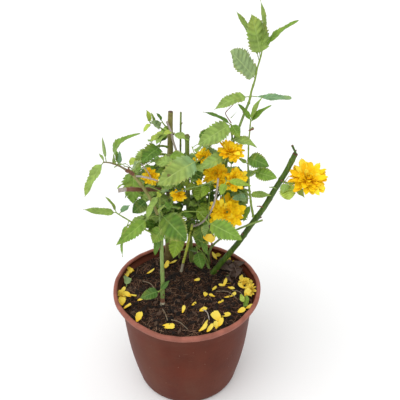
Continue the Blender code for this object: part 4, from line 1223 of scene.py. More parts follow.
def make_chips(look):
    """Bark chips and crumbs: short stubby bodies of four rings, each stretched, turned and dented."""
    count, rows, sides = look.chips, 4, 6
    x, y, dice = scattered(count, 23)
    size = 0.6 + 2.6 * dice.random(count) ** 3.0
    length = size * (1.0 + 1.6 * dice.random(count))
    flat = 0.35 + 0.45 * dice.random(count)
    along = direction(360.0 * dice.random(count), CHIP_TILT * (dice.random(count) - 0.5))
    left, up = cross_pair(along)
    s = np.linspace(-1.0, 1.0, rows)
    girth = np.sqrt(np.maximum(0.12, 1.0 - s * s))[:, None]
    dent = 0.72 + 0.5 * dice.random((count, rows, sides))
    across = (size[:, None, None] * girth * dent)[..., None]
    spoke = spokes(left[:, None, None], (up * flat[:, None])[:, None, None], full_turn(sides))
    middle = np.stack([x, y, SOIL_LEVEL + soil_height(x, y) + size * flat * 0.35], axis=-1)
    rows_on = along[:, None, None] * (length[:, None] * s)[..., None, None]
    rings = middle[:, None, None] + rows_on + across * spoke
    tones = dice.choice(len(CHIP_COLOURS), count, p=(0.34, 0.28, 0.24, 0.14))[:, None, None]
    materials = [plain_material(f"chip_{index}", colour, 0.9, 0.002, 0.3, 0.0005)
                 for index, colour in enumerate(CHIP_COLOURS)]
    made_piece("soil_chips", [closed_tubes(rings, tones)], materials, "soil", (), 25.0)


# A petal's rows along it, the loop of its columns across it, and the face that each column lies on
PETAL_ROWS = (0.0, 0.16, 0.34, 0.52, 0.68, 0.82, 0.93, 1.0)
PETAL_COLUMNS = (1.0, 0.5, 0.0, -0.5, -1.0, -0.5, 0.0, 0.5)
PETAL_FACES = (0.0, 1.0, 1.0, 1.0, 0.0, -1.0, -1.0, -1.0)
PETAL_WIDEST = 0.6
PETAL_THICKNESS = 0.10
# How pointed a petal is: 0.5 is an ellipse
TIP_POWER = 0.58
# Rings of petals: share of the outer ring's count, share of the radius, climb over the bloom's face, width
PETAL_RINGS = (
    (0.95, 1.08, -9.0, 0.38), (0.95, 1.03, 3.0, 0.37), (0.90, 0.92, 12.0, 0.35), (0.80, 0.78, 22.0, 0.33),
    (0.66, 0.63, 32.0, 0.32), (0.54, 0.49, 44.0, 0.31), (0.44, 0.37, 58.0, 0.30), (0.34, 0.28, 72.0, 0.28),
)
HEART_DEPTH = 0.22
SEPALS = 5
# How thick a bloom's stalk is along it, up to the swollen cup under the petals
STALK_GIRTHS = (0.7, 0.62, 0.6, 0.6, 0.62, 0.7, 1.0, 1.7, 2.1)


def laid_out(base, along, out, across, ahead, rise, sweep):
    """Places that lie so far ahead of a base, risen out of it and swept across it."""
    return base + along * ahead[..., None] + out * rise[..., None] + across * sweep[..., None]


def petal_rings(base, along, out, length, width, curl, cup, dice):
    """Petals as thin closed bodies: a blunt outline that is widest past its middle, cupped and curled.

    The half width is w (0.24 + 0.76 sin) up to 0.6 of the length and (1 - t^2)^0.58 from there on; the
    middle line bends by the curl as an arc, and the edges stand up by the cup times v squared."""
    u = np.array(PETAL_ROWS)[:, None]
    v, side = np.array(PETAL_COLUMNS), np.array(PETAL_FACES)
    length, width, curl, cup = (part[:, None, None] for part in (length, width, curl, cup))
    body = 0.24 + 0.76 * np.sin(np.minimum(u / PETAL_WIDEST, 1.0) * math.pi / 2.0)
    round_tip = np.maximum(0.02, 1.0 - np.maximum(0.0, (u - PETAL_WIDEST) / 0.41) ** 2) ** TIP_POWER
    notch = 1.0 - 0.07 * np.exp(-(v / 0.35) ** 2) * (u > 0.9)
    jag = 1.0 + 0.24 * (dice.random((len(base), len(u), 1)) - 0.5)
    ripple = 0.05 * length * np.sin(6.0 * u + 6.28 * dice.random((len(base), 1, 1)))
    reach = length * u * notch
    half = width / 2.0 * (body * round_tip) * jag
    bend = curl * u * 0.5
    rise = reach * np.sin(bend) + cup * half * v * v + ripple * v * u
    rise = rise + PETAL_THICKNESS * side * (1.0 - 0.5 * u)
    frames = (part[:, None, None] for part in (base, along, out, np.cross(out, along)))
    rings = laid_out(*frames, reach * np.cos(bend), rise, half * v)
    return rings, np.stack(np.broadcast_arrays(u, v), axis=-1)[None]


def bloom_frame(bloom):
    """A bloom's heart, where its petals start, its axis, and two directions across it."""
    axis = direction(bloom.heading, bloom.climb)
    level = level_across(bloom.heading)
    heart = np.array(bloom.centre, float) - axis * bloom.radius * HEART_DEPTH
    return heart, axis, level, np.cross(axis, level)


def petal_ring(bloom, ring, look, dice):
    """One ring of a bloom: each petal's base, two directions, length, width, curl, cup and tone."""
    heart, axis, level, over = bloom_frame(bloom)
    number, reach, climb, shape = PETAL_RINGS[ring]
    count = max(3, round(look.petals * number * min(1.0, 0.45 + bloom.radius / 40.0)))

    def spread(most):
        return (dice.random(count) - 0.5) * most * look.ruffle

    spoke = spokes(level, over, 2.0 * math.pi * (np.arange(count) + 0.5 * ring) / count + spread(0.44))
    rise = np.radians(climb + spread(34.0))
    way, face = spokes(spoke, axis, rise), spokes(axis, -spoke, rise)
    face = spokes(face, np.cross(way, face), spread(0.7))
    length = bloom.radius * reach * (0.74 + 0.34 * dice.random(count))
    width = bloom.radius * shape * (0.85 + 0.3 * dice.random(count))
    curl = 0.10 + 0.55 * (dice.random(count) - 0.35)
    cup = 0.18 + 0.30 * dice.random(count)
    tones = dice.choice(len(PETAL_TONES), count, p=(0.62, 0.26, 0.12))
    return heart + spoke * bloom.radius * 0.05, way, face, length, width, curl, cup, tones


def bloom_shapes(bloom, look):
    """A double bloom: rings of petals that rise and shorten towards its middle."""
    dice = np.random.default_rng(int(bloom.radius * 10) + int(bloom.heading) + 500)
    petals = [petal_ring(bloom, ring, look, dice) for ring in range(len(PETAL_RINGS))]
    *parts, tones = (np.concatenate(part) for part in zip(*petals))
    rings, uvs = petal_rings(*parts, dice)
    return closed_tubes(rings, tones[:, None, None], uvs)


def calyx_shapes(bloom, start, tone):
    """The green parts of a bloom: its stalk, a swollen cup and five pointed sepals."""
    heart, axis, level, over = bloom_frame(bloom)
    dice = np.random.default_rng(int(bloom.radius * 7) + 900)
    share = np.linspace(0.0, 1.0, len(STALK_GIRTHS))
    stalk = between(start, heart, share) - axis * arched(share)[:, None] * 2.0
    girths = np.array(STALK_GIRTHS) * min(1.0, bloom.radius / 16.0)
    spoke = spokes(level, over, full_turn(SEPALS) + 0.3)
    way = unit(spoke * 0.95 - axis * 0.25)
    face = unit(np.cross(np.cross(way, axis), way))
    size, curl, cup = (np.full(SEPALS, value) for value in (bloom.radius * 0.36, 0.2, 0.3))
    rings, uvs = petal_rings(heart + spoke * 0.8 - axis, way, face, size, size * 0.55, curl, cup, dice)
    return [closed_tubes(tube_rings(stalk, girths, 8)[None], tone), closed_tubes(rings, tone, uvs)]


class Guard:
    """What growth keeps clear of: the limbs' bark, the blooms and the light before them, and the pot."""

    def __init__(self, limbs, plans):
        shares = np.linspace(0.0, 1.0, 70)
        self.bark = np.concatenate([path_point(limb, shares) for limb in limbs.values()])
        self.radii = np.concatenate([path_radius(limb, shares) for limb in limbs.values()])
        blooms = [bloom for plan in plans.values() for bloom in plan.blooms]
        self.hearts = np.array([bloom.centre for bloom in blooms], float)
        self.sizes = np.array([bloom.radius for bloom in blooms])
        light = unit(np.array(TOWARDS_LIGHT))
        faces = np.array([direction(bloom.heading, bloom.climb) for bloom in blooms])
        self.lights = np.where((faces @ light > 0.0)[:, None], light, faces)
        low, high = (np.array(corner) / MM for corner in CAD_BOX)
        self.low, self.high = low - BOX_MARGIN, high + BOX_MARGIN
        spots = np.array(OPENINGS, float)
        self.openings, self.opening_depths = self.rays(spots[:, :3])
        self.opening_sizes = spots[:, 3]
        shown = [path_point(limbs[name], np.linspace(low, high, 40)) for name, low, high in BARE]
        for plan in plans.values():
            stem = mass_stem(plan, limbs)
            broad = (one for one in plan.leaves if one.width > SHOWN_WIDTH)
            shown += [leaf_reach(path_point(stem, one.share), one) for one in broad]
        self.bare, self.bare_depths = self.rays(np.concatenate(shown))

    @staticmethod
    def rays(points):
        """The directions and distances of places from where the photo was taken."""
        away = points - SEEN_FROM
        depth = np.linalg.norm(away, axis=-1)
        return away / depth[..., None], depth

    def open_view(self, points):
        """Whether points leave the crown's openings free, and bare canes and planned leaves in sight."""
        ways, depths = self.rays(points)
        slips = np.linalg.norm(ways[:, None] - self.openings, axis=-1) * self.opening_depths
        if (slips < self.opening_sizes).any():
            return False
        beside = np.linalg.norm(ways[:, None] - self.bare, axis=-1) < BARE_MARGIN
        return not (beside & (depths[:, None] < self.bare_depths)).any()

    def clear(self, points):
        """Whether points keep off the bark, the blooms, the pot's wall and the soil."""
        gaps = np.linalg.norm(points[:, None] - self.bark, axis=-1) - self.radii
        if gaps.min() < LIMB_CLEARANCE:
            return False
        away = points[:, None] - self.hearts
        if (np.linalg.norm(away, axis=-1) < self.sizes * BLOOM_CLEARANCE).any():
            return False
        ahead = (away * self.lights).sum(axis=-1)
        aside = np.linalg.norm(away - ahead[..., None] * self.lights, axis=-1)
        if ((ahead > 0.0) & (aside < self.sizes * BLOOM_SHADOW)).any():
            return False
        x, y, z = points.T
        near_wall = (z < POT_HEIGHT + WALL_HEADROOM) & (np.hypot(x, y) > RIM_RADIUS - WALL_CLEARANCE)
        beyond = (points < self.low).any() or (points > self.high).any()
        return not near_wall.any() and not beyond and z.min() > LEAST_HEIGHT


def leaf_frame(heading, climb, roll):
    """A leaf's three directions: along its rib, across its blade, and out of its upper face."""
    along = direction(heading, climb)
    level = level_across(heading)
    up = np.cross(along, level)
    lean = np.radians(roll)
    return along, spokes(level, up, lean), spokes(up, -level, lean)


def leaf_reach(base, one):
    """Places along and at the edges of a leaf, by which its clearance is judged."""
    along, across, _ = leaf_frame(one.heading, one.climb, one.roll)
    ahead, aside = np.array(LEAF_FEELERS).T
    return base + along * (ahead * one.length)[:, None] + across * (aside * one.width)[:, None]


def sprig_leaves(start, end, dice):
    """The three leaves of a sprig: one each side of its middle, and one that ends it."""
    way = end - start
    heading = math.degrees(math.atan2(way[1], way[0]))
    for share, turn in SPRIG_LEAF_TURNS:
        length = dice.uniform(*SPRIG_LEAF_LENGTHS) * (0.8 + 0.2 * share)
        climb = dice.uniform(*SPRIG_LEAF_CLIMBS)
        roll = dice.uniform(-SPRIG_LEAF_ROLL, SPRIG_LEAF_ROLL)
        bend = dice.uniform(-SPRIG_LEAF_BEND, SPRIG_LEAF_BEND)
        width = SPRIG_LEAF_SHAPE * length
        yield leaf(share, heading + turn + bend, climb, length, width, roll, SPRIG_LEAF_PETIOLE)


def small_leaf(heading, lengths, dice):
    """One seeded leaf about a heading."""
    length = dice.uniform(*lengths)
    return leaf(1.0, heading + dice.uniform(-SMALL_LEAF_BEND, SMALL_LEAF_BEND),
                dice.uniform(*SMALL_LEAF_CLIMBS), length, length * dice.uniform(*SMALL_LEAF_SHAPES),
                dice.uniform(-SMALL_LEAF_ROLL, SMALL_LEAF_ROLL), dice.uniform(*SMALL_LEAF_PETIOLES),
                arch=dice.uniform(*SMALL_LEAF_ARCHES), blunt=dice.uniform(*SMALL_LEAF_BLUNTNESS))


def seeded_end(start, heading, climbs, lengths, dice):
    """The tip of a seeded twig that sets out in a heading."""
    return start + direction(heading, dice.uniform(*climbs)) * dice.uniform(*lengths)


class Growth:
    """The twigs and leaves of a mass: the plan's own, the seeded sprigs, finer twigs and single leaves."""

    def __init__(self, plan, stem, guard):
        self.plan, self.stem, self.guard = plan, stem, guard
        self.middle = path_point(stem, REACH_CENTRE)
        self.dice, self.fine_dice = random.Random(plan.seed), random.Random(plan.seed + 1000)
        self.twigs = []
        self.leaves = [Grown(path_point(stem, one.share), one, True) for one in plan.leaves]
        for index in range(plan.sprigs):
            self.grow_sprig(index)
        for index in range(plan.fill):
            self.fill_in(index)

    def add(self, base, one):
        """Adds a leaf where it has room, and says whether it had."""
        tone = self.plan.tones[self.fine_dice.randrange(len(self.plan.tones))]
        tip = base + direction(one.heading, one.climb) * one.length
        places = leaf_reach(base, one)
        near = np.linalg.norm(tip - self.middle) < self.plan.reach
        room = near and self.guard.clear(places) and self.guard.open_view(places)
        if room:
            self.leaves.append(Grown(base, one._replace(tone=tone), False))
        return room

    def grow_sprig(self, index):
        """A twig with three leaves, and finer twigs with two small leaves each."""
        share = FIRST_SPRIG + (1.0 - FIRST_SPRIG) * (index + 1) / self.plan.sprigs
        start = path_point(self.stem, min(share, 0.99))
        heading = GOLDEN_TURN * (index + self.plan.seed)
        end = seeded_end(start, heading, SPRIG_CLIMBS, SPRIG_LENGTHS, self.dice)
        sprouts = list(sprig_leaves(start, end, self.dice))
        if not self.guard.clear(between(start, end, np.linspace(0.3, 1.0, 6))):
            return
        self.twigs.append((start, end, SPRIG_RADIUS))
        for one in sprouts:
            self.add(between(start, end, min(one.share, 0.97)), one)
        for turn, fine_share in enumerate(FINE_SHARES):
            root = between(start, end, fine_share)
            aside = heading + (FINE_TURN if turn % 2 else -FINE_TURN) + self.fine_dice.uniform(-20.0, 20.0)
            tip = seeded_end(root, aside, FINE_CLIMBS, FINE_LENGTHS, self.fine_dice)
            first = self.add(tip, small_leaf(aside + 30.0, FINE_LEAF_LENGTHS, self.fine_dice))
            second = self.add(tip, small_leaf(aside - 30.0, FINE_LEAF_LENGTHS, self.fine_dice))
            if first or second:
                self.twigs.append((root, tip, FINE_RADIUS))

    def fill_in(self, index):
        """A twig with small leaves along it, on the first of a few sides that has room."""
        start = path_point(self.stem, 0.15 + 0.83 * (index + 0.5) / self.plan.fill)
        for turn in range(FILL_TRIES):
            heading = GOLDEN_TURN * (index + 3 * self.plan.seed) + turn * FILL_TURN
            end = seeded_end(start, heading, FILL_CLIMBS, FILL_LENGTHS, self.fine_dice)
            if not self.guard.clear(between(start, end, np.linspace(0.35, 1.0, 6))):
                continue
            grew = 0
            for share, aside in FILL_LEAF_PLACES:
                one = small_leaf(heading + aside, FILL_LEAF_LENGTHS, self.fine_dice)
                grew += self.add(between(start, end, share), one)
            if grew:
                self.twigs.append((start, end, SPRIG_RADIUS))
            if grew > 2:
                break


def blade_rows(teeth):
    """Rows of a toothed blade, three to a tooth: share along it and rise of the edge; teeth alternate."""
    along = ((np.arange(teeth)[:, None] + (0.04, 0.5, 0.95)) / teeth).ravel()
    size = np.where(np.arange(teeth) % 2, 0.6, 1.15)[:, None]
    rise = (np.array((-0.5, 0.05, 0.5)) * size).ravel()
    return np.append(along, 1.0)[:, None], np.append(rise, 0.0)[:, None]


def blade_columns():
    """The loop across a blade: the place from edge to edge, and the face: 0 at an edge, else 1 or -1."""
    top = np.array(BLADE_COLUMNS)
    side = np.concatenate([[0.0], np.ones(len(top) - 2), [0.0], -np.ones(len(top) - 2)])
    return np.concatenate([top, top[-2:0:-1]]), side


def blade_outline(u, blunt):
    """The half width along a blade, 1 at its widest: u^a (1 - u)^b, with a smaller b for a blunt leaf."""
    swell, taper = 0.55 - 0.05 * blunt, 1.05 - 0.60 * blunt
    widest = swell / (swell + taper)
    return (u ** swell) * (1.0 - u) ** taper / (widest ** swell * (1.0 - widest) ** taper)


def leaf_tones(leaves, v, rows, slots):
    """The material of each quad: rib in the middle of the upper face, underside below, stalk first."""
    part = np.where((v + np.roll(v, -1)) == 0.0, RIB, UPPER)
    part[len(BLADE_COLUMNS) - 1:] = UNDER
    parts = np.tile(part, (rows - 1, 1))
    parts[:len(PETIOLE_ROWS)] = STALK
    tones = np.array([[slots[one.tone, part] for part in (UPPER, RIB, UNDER, STALK)] for one in leaves])
    return tones[:, parts]


def leaf_chances(grown, teeth):
    """Seeded values from 0 to 1 for each leaf's wave, tilt, swing and droop, nearer to a half on leaves
    of the plan, and for its fold."""
    dice = np.random.default_rng(len(grown) + teeth)
    *chances, fold = (dice.random((len(grown), 1, 1)) for _ in range(5))
    freedom = 1.0 - 0.6 * np.array([fine for _, _, fine in grown], float)[:, None, None]
    return *(0.5 + freedom * (chance - 0.5) for chance in chances), fold


def petiole_rows(length, neck, v, side):
    """The rows of a round petiole: share of the leaf's length, and the way aside and up."""
    root, girth = (np.array(column)[:, None] for column in (PETIOLE_ROWS, PETIOLE_GIRTHS))
    share = root * neck * np.ones_like(v) - (root == 0.0) * LEAF_SINK / length
    girth = PETIOLE_RADIUS * girth * np.ones_like(length)
    return share, girth * v, girth * side * np.sqrt(1.0 - 0.9 * v * v)


def leaf_shape(grown, teeth, look, slots):
    """Leaves as closed thin blades on round petioles, computed as whole arrays.

    Rows lean forward by 0.18 |v| 4u(1-u) as the side veins do, the edge steps out and back by the teeth,
    and the blade is pleated by the cosine of the vein count, folded up from the rib, waved at the edge,
    arched along the rib, swung aside by u squared and bent down at its tip by u cubed."""
    leaves = [one for _, one, _ in grown]
    facts = [(one.length, one.width / 2.0, one.petiole / one.length, one.arch, one.blunt) for one in leaves]
    length, half, neck, arch, blunt = (column[:, None, None] for column in np.array(facts).T)
    frames = leaf_frame(*np.array([(one.heading, one.climb, one.roll) for one in leaves]).T)
    base = np.array([place for place, _, _ in grown])
    base, along, across, out = (part[:, None, None] for part in (base, *frames))
    phase, tilt, swing, droop, fold = leaf_chances(grown, teeth)

    (u_row, rise), (v, side) = blade_rows(teeth), blade_columns()
    u = u_row + VEIN_SLANT * np.abs(v) * arched(u_row)
    veins = u_row * teeth / TEETH_PER_VEIN
    depth = np.minimum(MOST_TOOTH, look.tooth_depth / MM / half) * np.minimum(1.0, half / BROAD_HALF)
    outline = blade_outline(u, blunt) * (1.0 + depth * rise * 2.0 * np.abs(v) ** 3)
    pleat = -np.cos(2.0 * math.pi * veins) * np.minimum(1.0, np.abs(v) * 2.2) * (1.0 - 0.55 * v * v)
    wave = 0.15 * half * np.sin(2.0 * math.pi * (1.7 * u + phase)) * v * np.abs(v)
    flat = half * outline * v
    lift = (0.16 + 0.16 * fold) * half * outline * np.abs(v)
    lift = lift + look.pleat * half * pleat * np.sqrt(outline) + wave
    lift = lift + side * LEAF_THICKNESS * (1.0 - 0.6 * v * v) - 0.25 * (np.abs(v) < 0.1) * (1.0 - u)
    twist = (tilt - 0.5) * 0.9 * u * u
    sweep = flat * np.cos(twist) - lift * np.sin(twist) + length * (swing - 0.5) * 0.10 * u * u
    height = flat * np.sin(twist) + lift * np.cos(twist) - length * (droop - 0.35) * 0.12 * u ** 3

    rows = zip(petiole_rows(length, neck, v, side), (neck + (1.0 - neck) * u, sweep, height))
    share, sweep, height = (np.concatenate(part, axis=1) for part in rows)
    height = arch * length * arched(share) + height
    rings = laid_out(base, along, out, across, share * length, height, sweep)
    count = np.concatenate([np.zeros((len(PETIOLE_ROWS), 1)), veins])
    uvs = np.stack(np.broadcast_arrays(count, v), axis=-1)[None]
    return closed_tubes(rings, leaf_tones(leaves, v, rings.shape[1], slots), uvs)


def leaf_slots(tones):
    """The place of each tone's upper face, rib, underside and stalk in a leaf piece's material list."""
    slots = {(tone, STALK): STALK * len(tones) for tone in tones}
    for index, tone in enumerate(tones):
        slots.update({(tone, part): STALK * index + part for part in (UPPER, RIB, UNDER)})
    return slots


def leaf_materials():
    """The materials of the leaf pieces: upper face and underside of each tone, the rib and the stalk."""
    made = {"stalk": plain_material("leaf_stalk", STALK_COLOUR)}
    for tone, (upper, _) in LEAF_TONES.items():
        *_, rib = DRY_COLOURS if tone == "dead" else LIVE_COLOURS
        colour = mixed_tone(upper, rib, RIB_SHARE)
        made[tone] = (leaf_material(tone, False), plain_material(f"rib_{tone}", colour),
                      leaf_material(tone, True))
    return made


def leaf_piece(name, grown, look, materials, replaced):
    """The leaves of one mass as one piece."""
    tones = sorted({one.tone for _, one, _ in grown})
    slots = leaf_slots(tones)
    shapes = []
    for fine, teeth in ((True, look.teeth), (False, max(6, look.teeth - FINER_TEETH))):
        chosen = [one for one in grown if one.fine == fine]
        if chosen:
            shapes.append(leaf_shape(chosen, teeth, look, slots))
    worn = [material for tone in tones for material in materials[tone]] + [materials["stalk"]]
    return made_piece(name, shapes, worn, "foliage", replaced, 62.0)


def stem_rings(stem, inset):
    """A green stem with slight knees at its nodes; it starts an inset below its carrier's bark."""
    length = limb_length(stem)
    share = np.linspace(0.0, 1.0, max(6, int(length / 1.6)))
    points = path_point(stem, share)
    start = unit(points[1] - points[0])
    aside = unit(np.cross(start, np.array((0.3, 0.2, 1.0))))
    ease = np.minimum(1.0, share * 8.0) * np.minimum(1.0, (1.0 - share) * 8.0)
    bends = knees(share * length, STEM_NODE_SPACING) * 0.8 * ease
    points = points + aside * bends[:, None]
    points = np.concatenate([[points[0] - start * inset], points])
    radii = path_radius(stem, share) * (1.0 + 0.28 * node_swell(share * length, STEM_NODE_SPACING, 1.6))
    radii = np.concatenate([[radii[0] * 1.5], radii])
    radii[1] *= 1.35
    return tube_rings(points, radii, 8)[None]


def twig_rings(start, end, radius):
    """A short side twig that swells at its root and arches a little."""
    share = np.linspace(0.0, 1.0, 7)
    points = between(start, end, share) + arched(share)[:, None] * 0.8 * UP
    radii = radius * (1.0 + (TWIG_TAPER - 1.0) * share)
    radii[0] *= 1.5
    return tube_rings(points, radii, 6)[None]


def make_foliage():
    """The twigs and leaves of every mass, in place of its solid."""
    look = bpy.context.scene.kerria_leaves
    limbs, plans = all_limbs(), MASSES | SPROUTS
    guard = Guard(limbs, plans)
    materials = leaf_materials()
    barks = {name: plain_material(name, colour, 0.6, 0.003) for name, colour in TWIG_COLOURS.items()}
    for name, plan in plans.items():
        replaced = (name,) if name in MASSES else ()
        stem = mass_stem(plan, limbs)
        growth = Growth(plan, stem, guard)
        inset = GAP + 0.6 * plan.radius if plan.limb else 0.2
        shapes = [closed_tubes(stem_rings(stem, inset))]
        shapes += [closed_tubes(twig_rings(*twig)) for twig in growth.twigs]
        made_piece(f"{name}_twigs", shapes, [barks[plan.twig]], "foliage", replaced, 60.0)
        leaf_piece(f"{name}_leaves", growth.leaves, look, materials, replaced)


def make_blooms():
    """The double blooms of each mass, with their calyx and stalk."""
    look = bpy.context.scene.kerria_blooms
    limbs = all_limbs()
    materials = [petal_material(f"petal_{name}", tone) for name, tone in PETAL_TONES.items()]
    materials.append(plain_material("calyx", CALYX_COLOUR))
    for name, plan in MASSES.items():
        if not plan.blooms:
            continue
        stem = mass_stem(plan, limbs)
        shapes = []
        for bloom in plan.blooms:
            shapes.append(bloom_shapes(bloom, look))
            shapes += calyx_shapes(bloom, path_point(stem, min(bloom.share, 0.98)), len(PETAL_TONES))
        made_piece(f"{name}_blooms", shapes, materials, "foliage", (name,), 60.0)


# Where the bark changes on a cane: height of its bleached foot, height of the brown ring above that
CANE_FEET = {"cane_front": (4.0, 10.5), "cane_yellow": (17.0, 18.5)}
# The share of a bough from which its bark is bleached grey
BLEACHED_ENDS = {"bough_cut": 0.80}
BARK, CUT, PALE_FOOT, FOOT_RING, BLEACHED = range(5)
# The dished cut at a limb's tip: steps onward and shares of the radius
CUT_PROFILE = ((0.25, 0.86), (0.1, 0.55), (-0.3, 0.15))
BUD_GIRTHS = (0.55, 1.0, 0.9, 0.55, 0.08)


def name_seed(name):
    """A fixed number for a name, so that each cane differs."""
    return sum(ord(letter) for letter in name)


def node_spacing(name, limb):
    """How far apart a limb's nodes are, and by how much they are shifted along it."""
    return 27.0 + limb.foot_radius * 2.0, name_seed(name) % 17


def limb_rings(name, limb, look):
    """A cane or bough with its relief: flared foot, swollen nodes, faint ridges and a dished, dry cut.

    The radius is the path's own, times 1 plus ridges cos(5 t), seeded noise and a bump at each node."""
    length, seed, is_cane = limb_length(limb), name_seed(name), name.startswith("cane")
    share = np.linspace(0.0, 1.0, max(12, int(length / 1.5)))
    spacing, shift = node_spacing(name, limb)
    travel = share * length + shift
    points = path_point(limb, share)
    aside = unit(np.cross(points[-1] - points[0], np.array((math.cos(seed), math.sin(seed), 0.1))))
    ease = np.minimum(1.0, share * 12.0) * np.minimum(1.0, (1.0 - share) * 12.0)
    bends = knees(travel, spacing) * ease * min(0.9, limb.tip_radius * 0.35)
    points = points + aside * bends[:, None]
    turn = full_turn(look.sides)
    around = np.broadcast_arrays(np.cos(turn) * 3.0, np.sin(turn) * 3.0, travel[:, None] * 0.35)
    ridges = 0.5 * np.cos(5.0 * turn + seed) + value_noise(np.stack(around, axis=-1), 1.3, seed)
    relief = look.relief * ridges + 0.13 * node_swell(travel, spacing, 3.0)[:, None]
    if is_cane:
        relief = relief + 0.25 * np.exp(-share * length / 4.0)[:, None]
    radii = path_radius(limb, share)[:, None] * (1.0 + relief)
    cut_steps, cut_girths = np.array(CUT_PROFILE).T[:, :, None]
    points = np.concatenate([points, points[-1] + (points[-1] - points[-2]) * cut_steps])
    radii = np.concatenate([radii, radii[-1:] * cut_girths])
    if not is_cane:
        points = np.concatenate([[points[0] - (points[1] - points[0]) * 0.9], points])
        radii = np.concatenate([radii[:1] * 1.15, radii])
    return tube_rings(points, radii, look.sides)[None]


def make_canes():
    """The canes and boughs with bark, nodes and weathered cuts, in place of their solids."""
    look = bpy.context.scene.kerria_canes
    limbs = all_limbs()
    barks = {kind: (bark_material(kind), cut_material(kind)) for kind in BARKS}
    foot = pale_foot_material()
    slots = {part["node"]: part["material_slot"] for part in frame["record"]["subparts"]}
    for name, limb in limbs.items():
        rings = limb_rings(name, limb, look)
        tones = np.full((1, rings.shape[1] - 1, look.sides), BARK)
        tones[:, -len(CUT_PROFILE):] = CUT
        if name in CANE_FEET:
            pale, ring = CANE_FEET[name]
            height = rings[:, :-1, :, 2] - SOIL_LEVEL
            tones[height < ring] = FOOT_RING
            tones[height < pale] = PALE_FOOT
        if name in BLEACHED_ENDS:
            tones[:, int(BLEACHED_ENDS[name] * rings.shape[1]):-len(CUT_PROFILE)] = BLEACHED
        worn = [*barks[limb.bark], foot, barks["brown"][0], barks["grey"][0]]
        made_piece(f"{name}_bark", [closed_tubes(rings, tones)], worn, slots[name], (name,), 45.0)
    make_buds(limbs, barks)
    make_small_twigs(barks)


# Small bare twigs, dead stubs and straws: bark, radius at the foot and at the tip, places along it
SMALL_TWIGS = (
    ("grey", 1.3, 1.5, ((-24, 57, 369), (-18, 50, 357), (-16, 47, 347), (-12, 43, 335), (-11, 42, 327))),
    ("light", 0.7, 0.5, ((-12, -7, 303), (6, -12, 312), (20, -8, 313), (36, 0, 316))),
    ("grey", 0.6, 0.4, ((119, 7, 300), (121, 7, 307), (126, 7, 316), (127, 6, 319))),
    ("light", 1.7, 1.3, ((33, 47, 141), (28, 50, 152), (22, 52, 165))),
    ("brown", 1.4, 1.0, ((36, 60, 141), (33, 60, 158), (35, 59, 184))),
    ("brown", 0.6, 0.4, ((56, 35, 376), (49, 33, 388), (50, 31, 393), (55, 30, 399), (61, 30, 406))),
    ("light", 0.5, 0.15, ((55, 31, 384), (58, 30, 388), (62, 30, 393))),
    ("brown", 0.9, 1.1, ((77, 24, 371), (79, 21, 373), (82, 18, 376))),
    ("light", 1.3, 0.5, ((113, 13, 298), (109, 11, 300), (104, 9, 301))),
    ("brown", 1.1, 0.6, ((100, 19, 266), (95, 18, 268), (91, 18, 268))),
    ("rust", 2.3, 1.9, ((-61, -10, 329), (-65, -11, 333), (-70, -13, 336))),
    ("rust", 1.5, 0.6, ((-64, -12, 333), (-66, -15, 338), (-65, -16, 342))),
    ("grey", 0.8, 0.5, ((-54, 8, 335), (-48, 6, 328), (-43, 4, 320), (-42, 3, 314))),
    ("straw", 0.9, 0.6, ((-31, -40, 145.5), (-27, -51, 148.5), (-23, -63, 146))),
    ("straw", 0.7, 0.5, ((-20, -60, 146), (-8, -69, 150), (3, -79, 147))),
    ("straw", 0.7, 0.4, ((62, -2, 146), (72, -12, 151), (78, -24, 147))),
    ("straw", 0.6, 0.4, ((40, -4, 146), (56, -10, 150), (68, -22, 147))),
    ("straw", 0.8, 0.5, ((-62, 18, 146), (-50, 8, 149), (-41, -6, 146.5))),
    ("grey", 0.8, 0.5, ((20, -40, 146), (27, -50, 149.5), (30, -62, 147))),
)


def smooth_path(places, count):
    """A smooth path through places: each span is a cubic whose slopes are those of its neighbours."""
    places = np.asarray(places, float)
    slopes = np.gradient(places, axis=0)
    along = np.linspace(0.0, len(places) - 1.0, count)
    span = np.minimum(along.astype(int), len(places) - 2)
    t = (along - span)[:, None]
    return (places[span] * (1.0 + 2.0 * t) * (1.0 - t) ** 2 + slopes[span] * t * (1.0 - t) ** 2
            + places[span + 1] * t * t * (3.0 - 2.0 * t) + slopes[span + 1] * t * t * (t - 1.0))


def make_small_twigs(barks):
    """Small bare twigs and straws, knobbly where leaves have dropped, as one piece."""
    kinds = sorted({bark for bark, *_ in SMALL_TWIGS})
    share = np.linspace(0.0, 1.0, 24)
    shapes = []
    for bark, foot, tip, places in SMALL_TWIGS:
        points = smooth_path(places, len(share))
        knobs = 0.35 * np.maximum(0.0, np.cos(share * 14.0 + points[0, 0])) ** 8
        radii = (foot + (tip - foot) * share) * (1.0 + knobs)
        radii[-1] *= 0.35
        shapes.append(closed_tubes(tube_rings(points, radii, 8)[None], kinds.index(bark)))
    made_piece("small_twigs", shapes, [barks[kind][0] for kind in kinds], "cane_brown", (), 50.0)


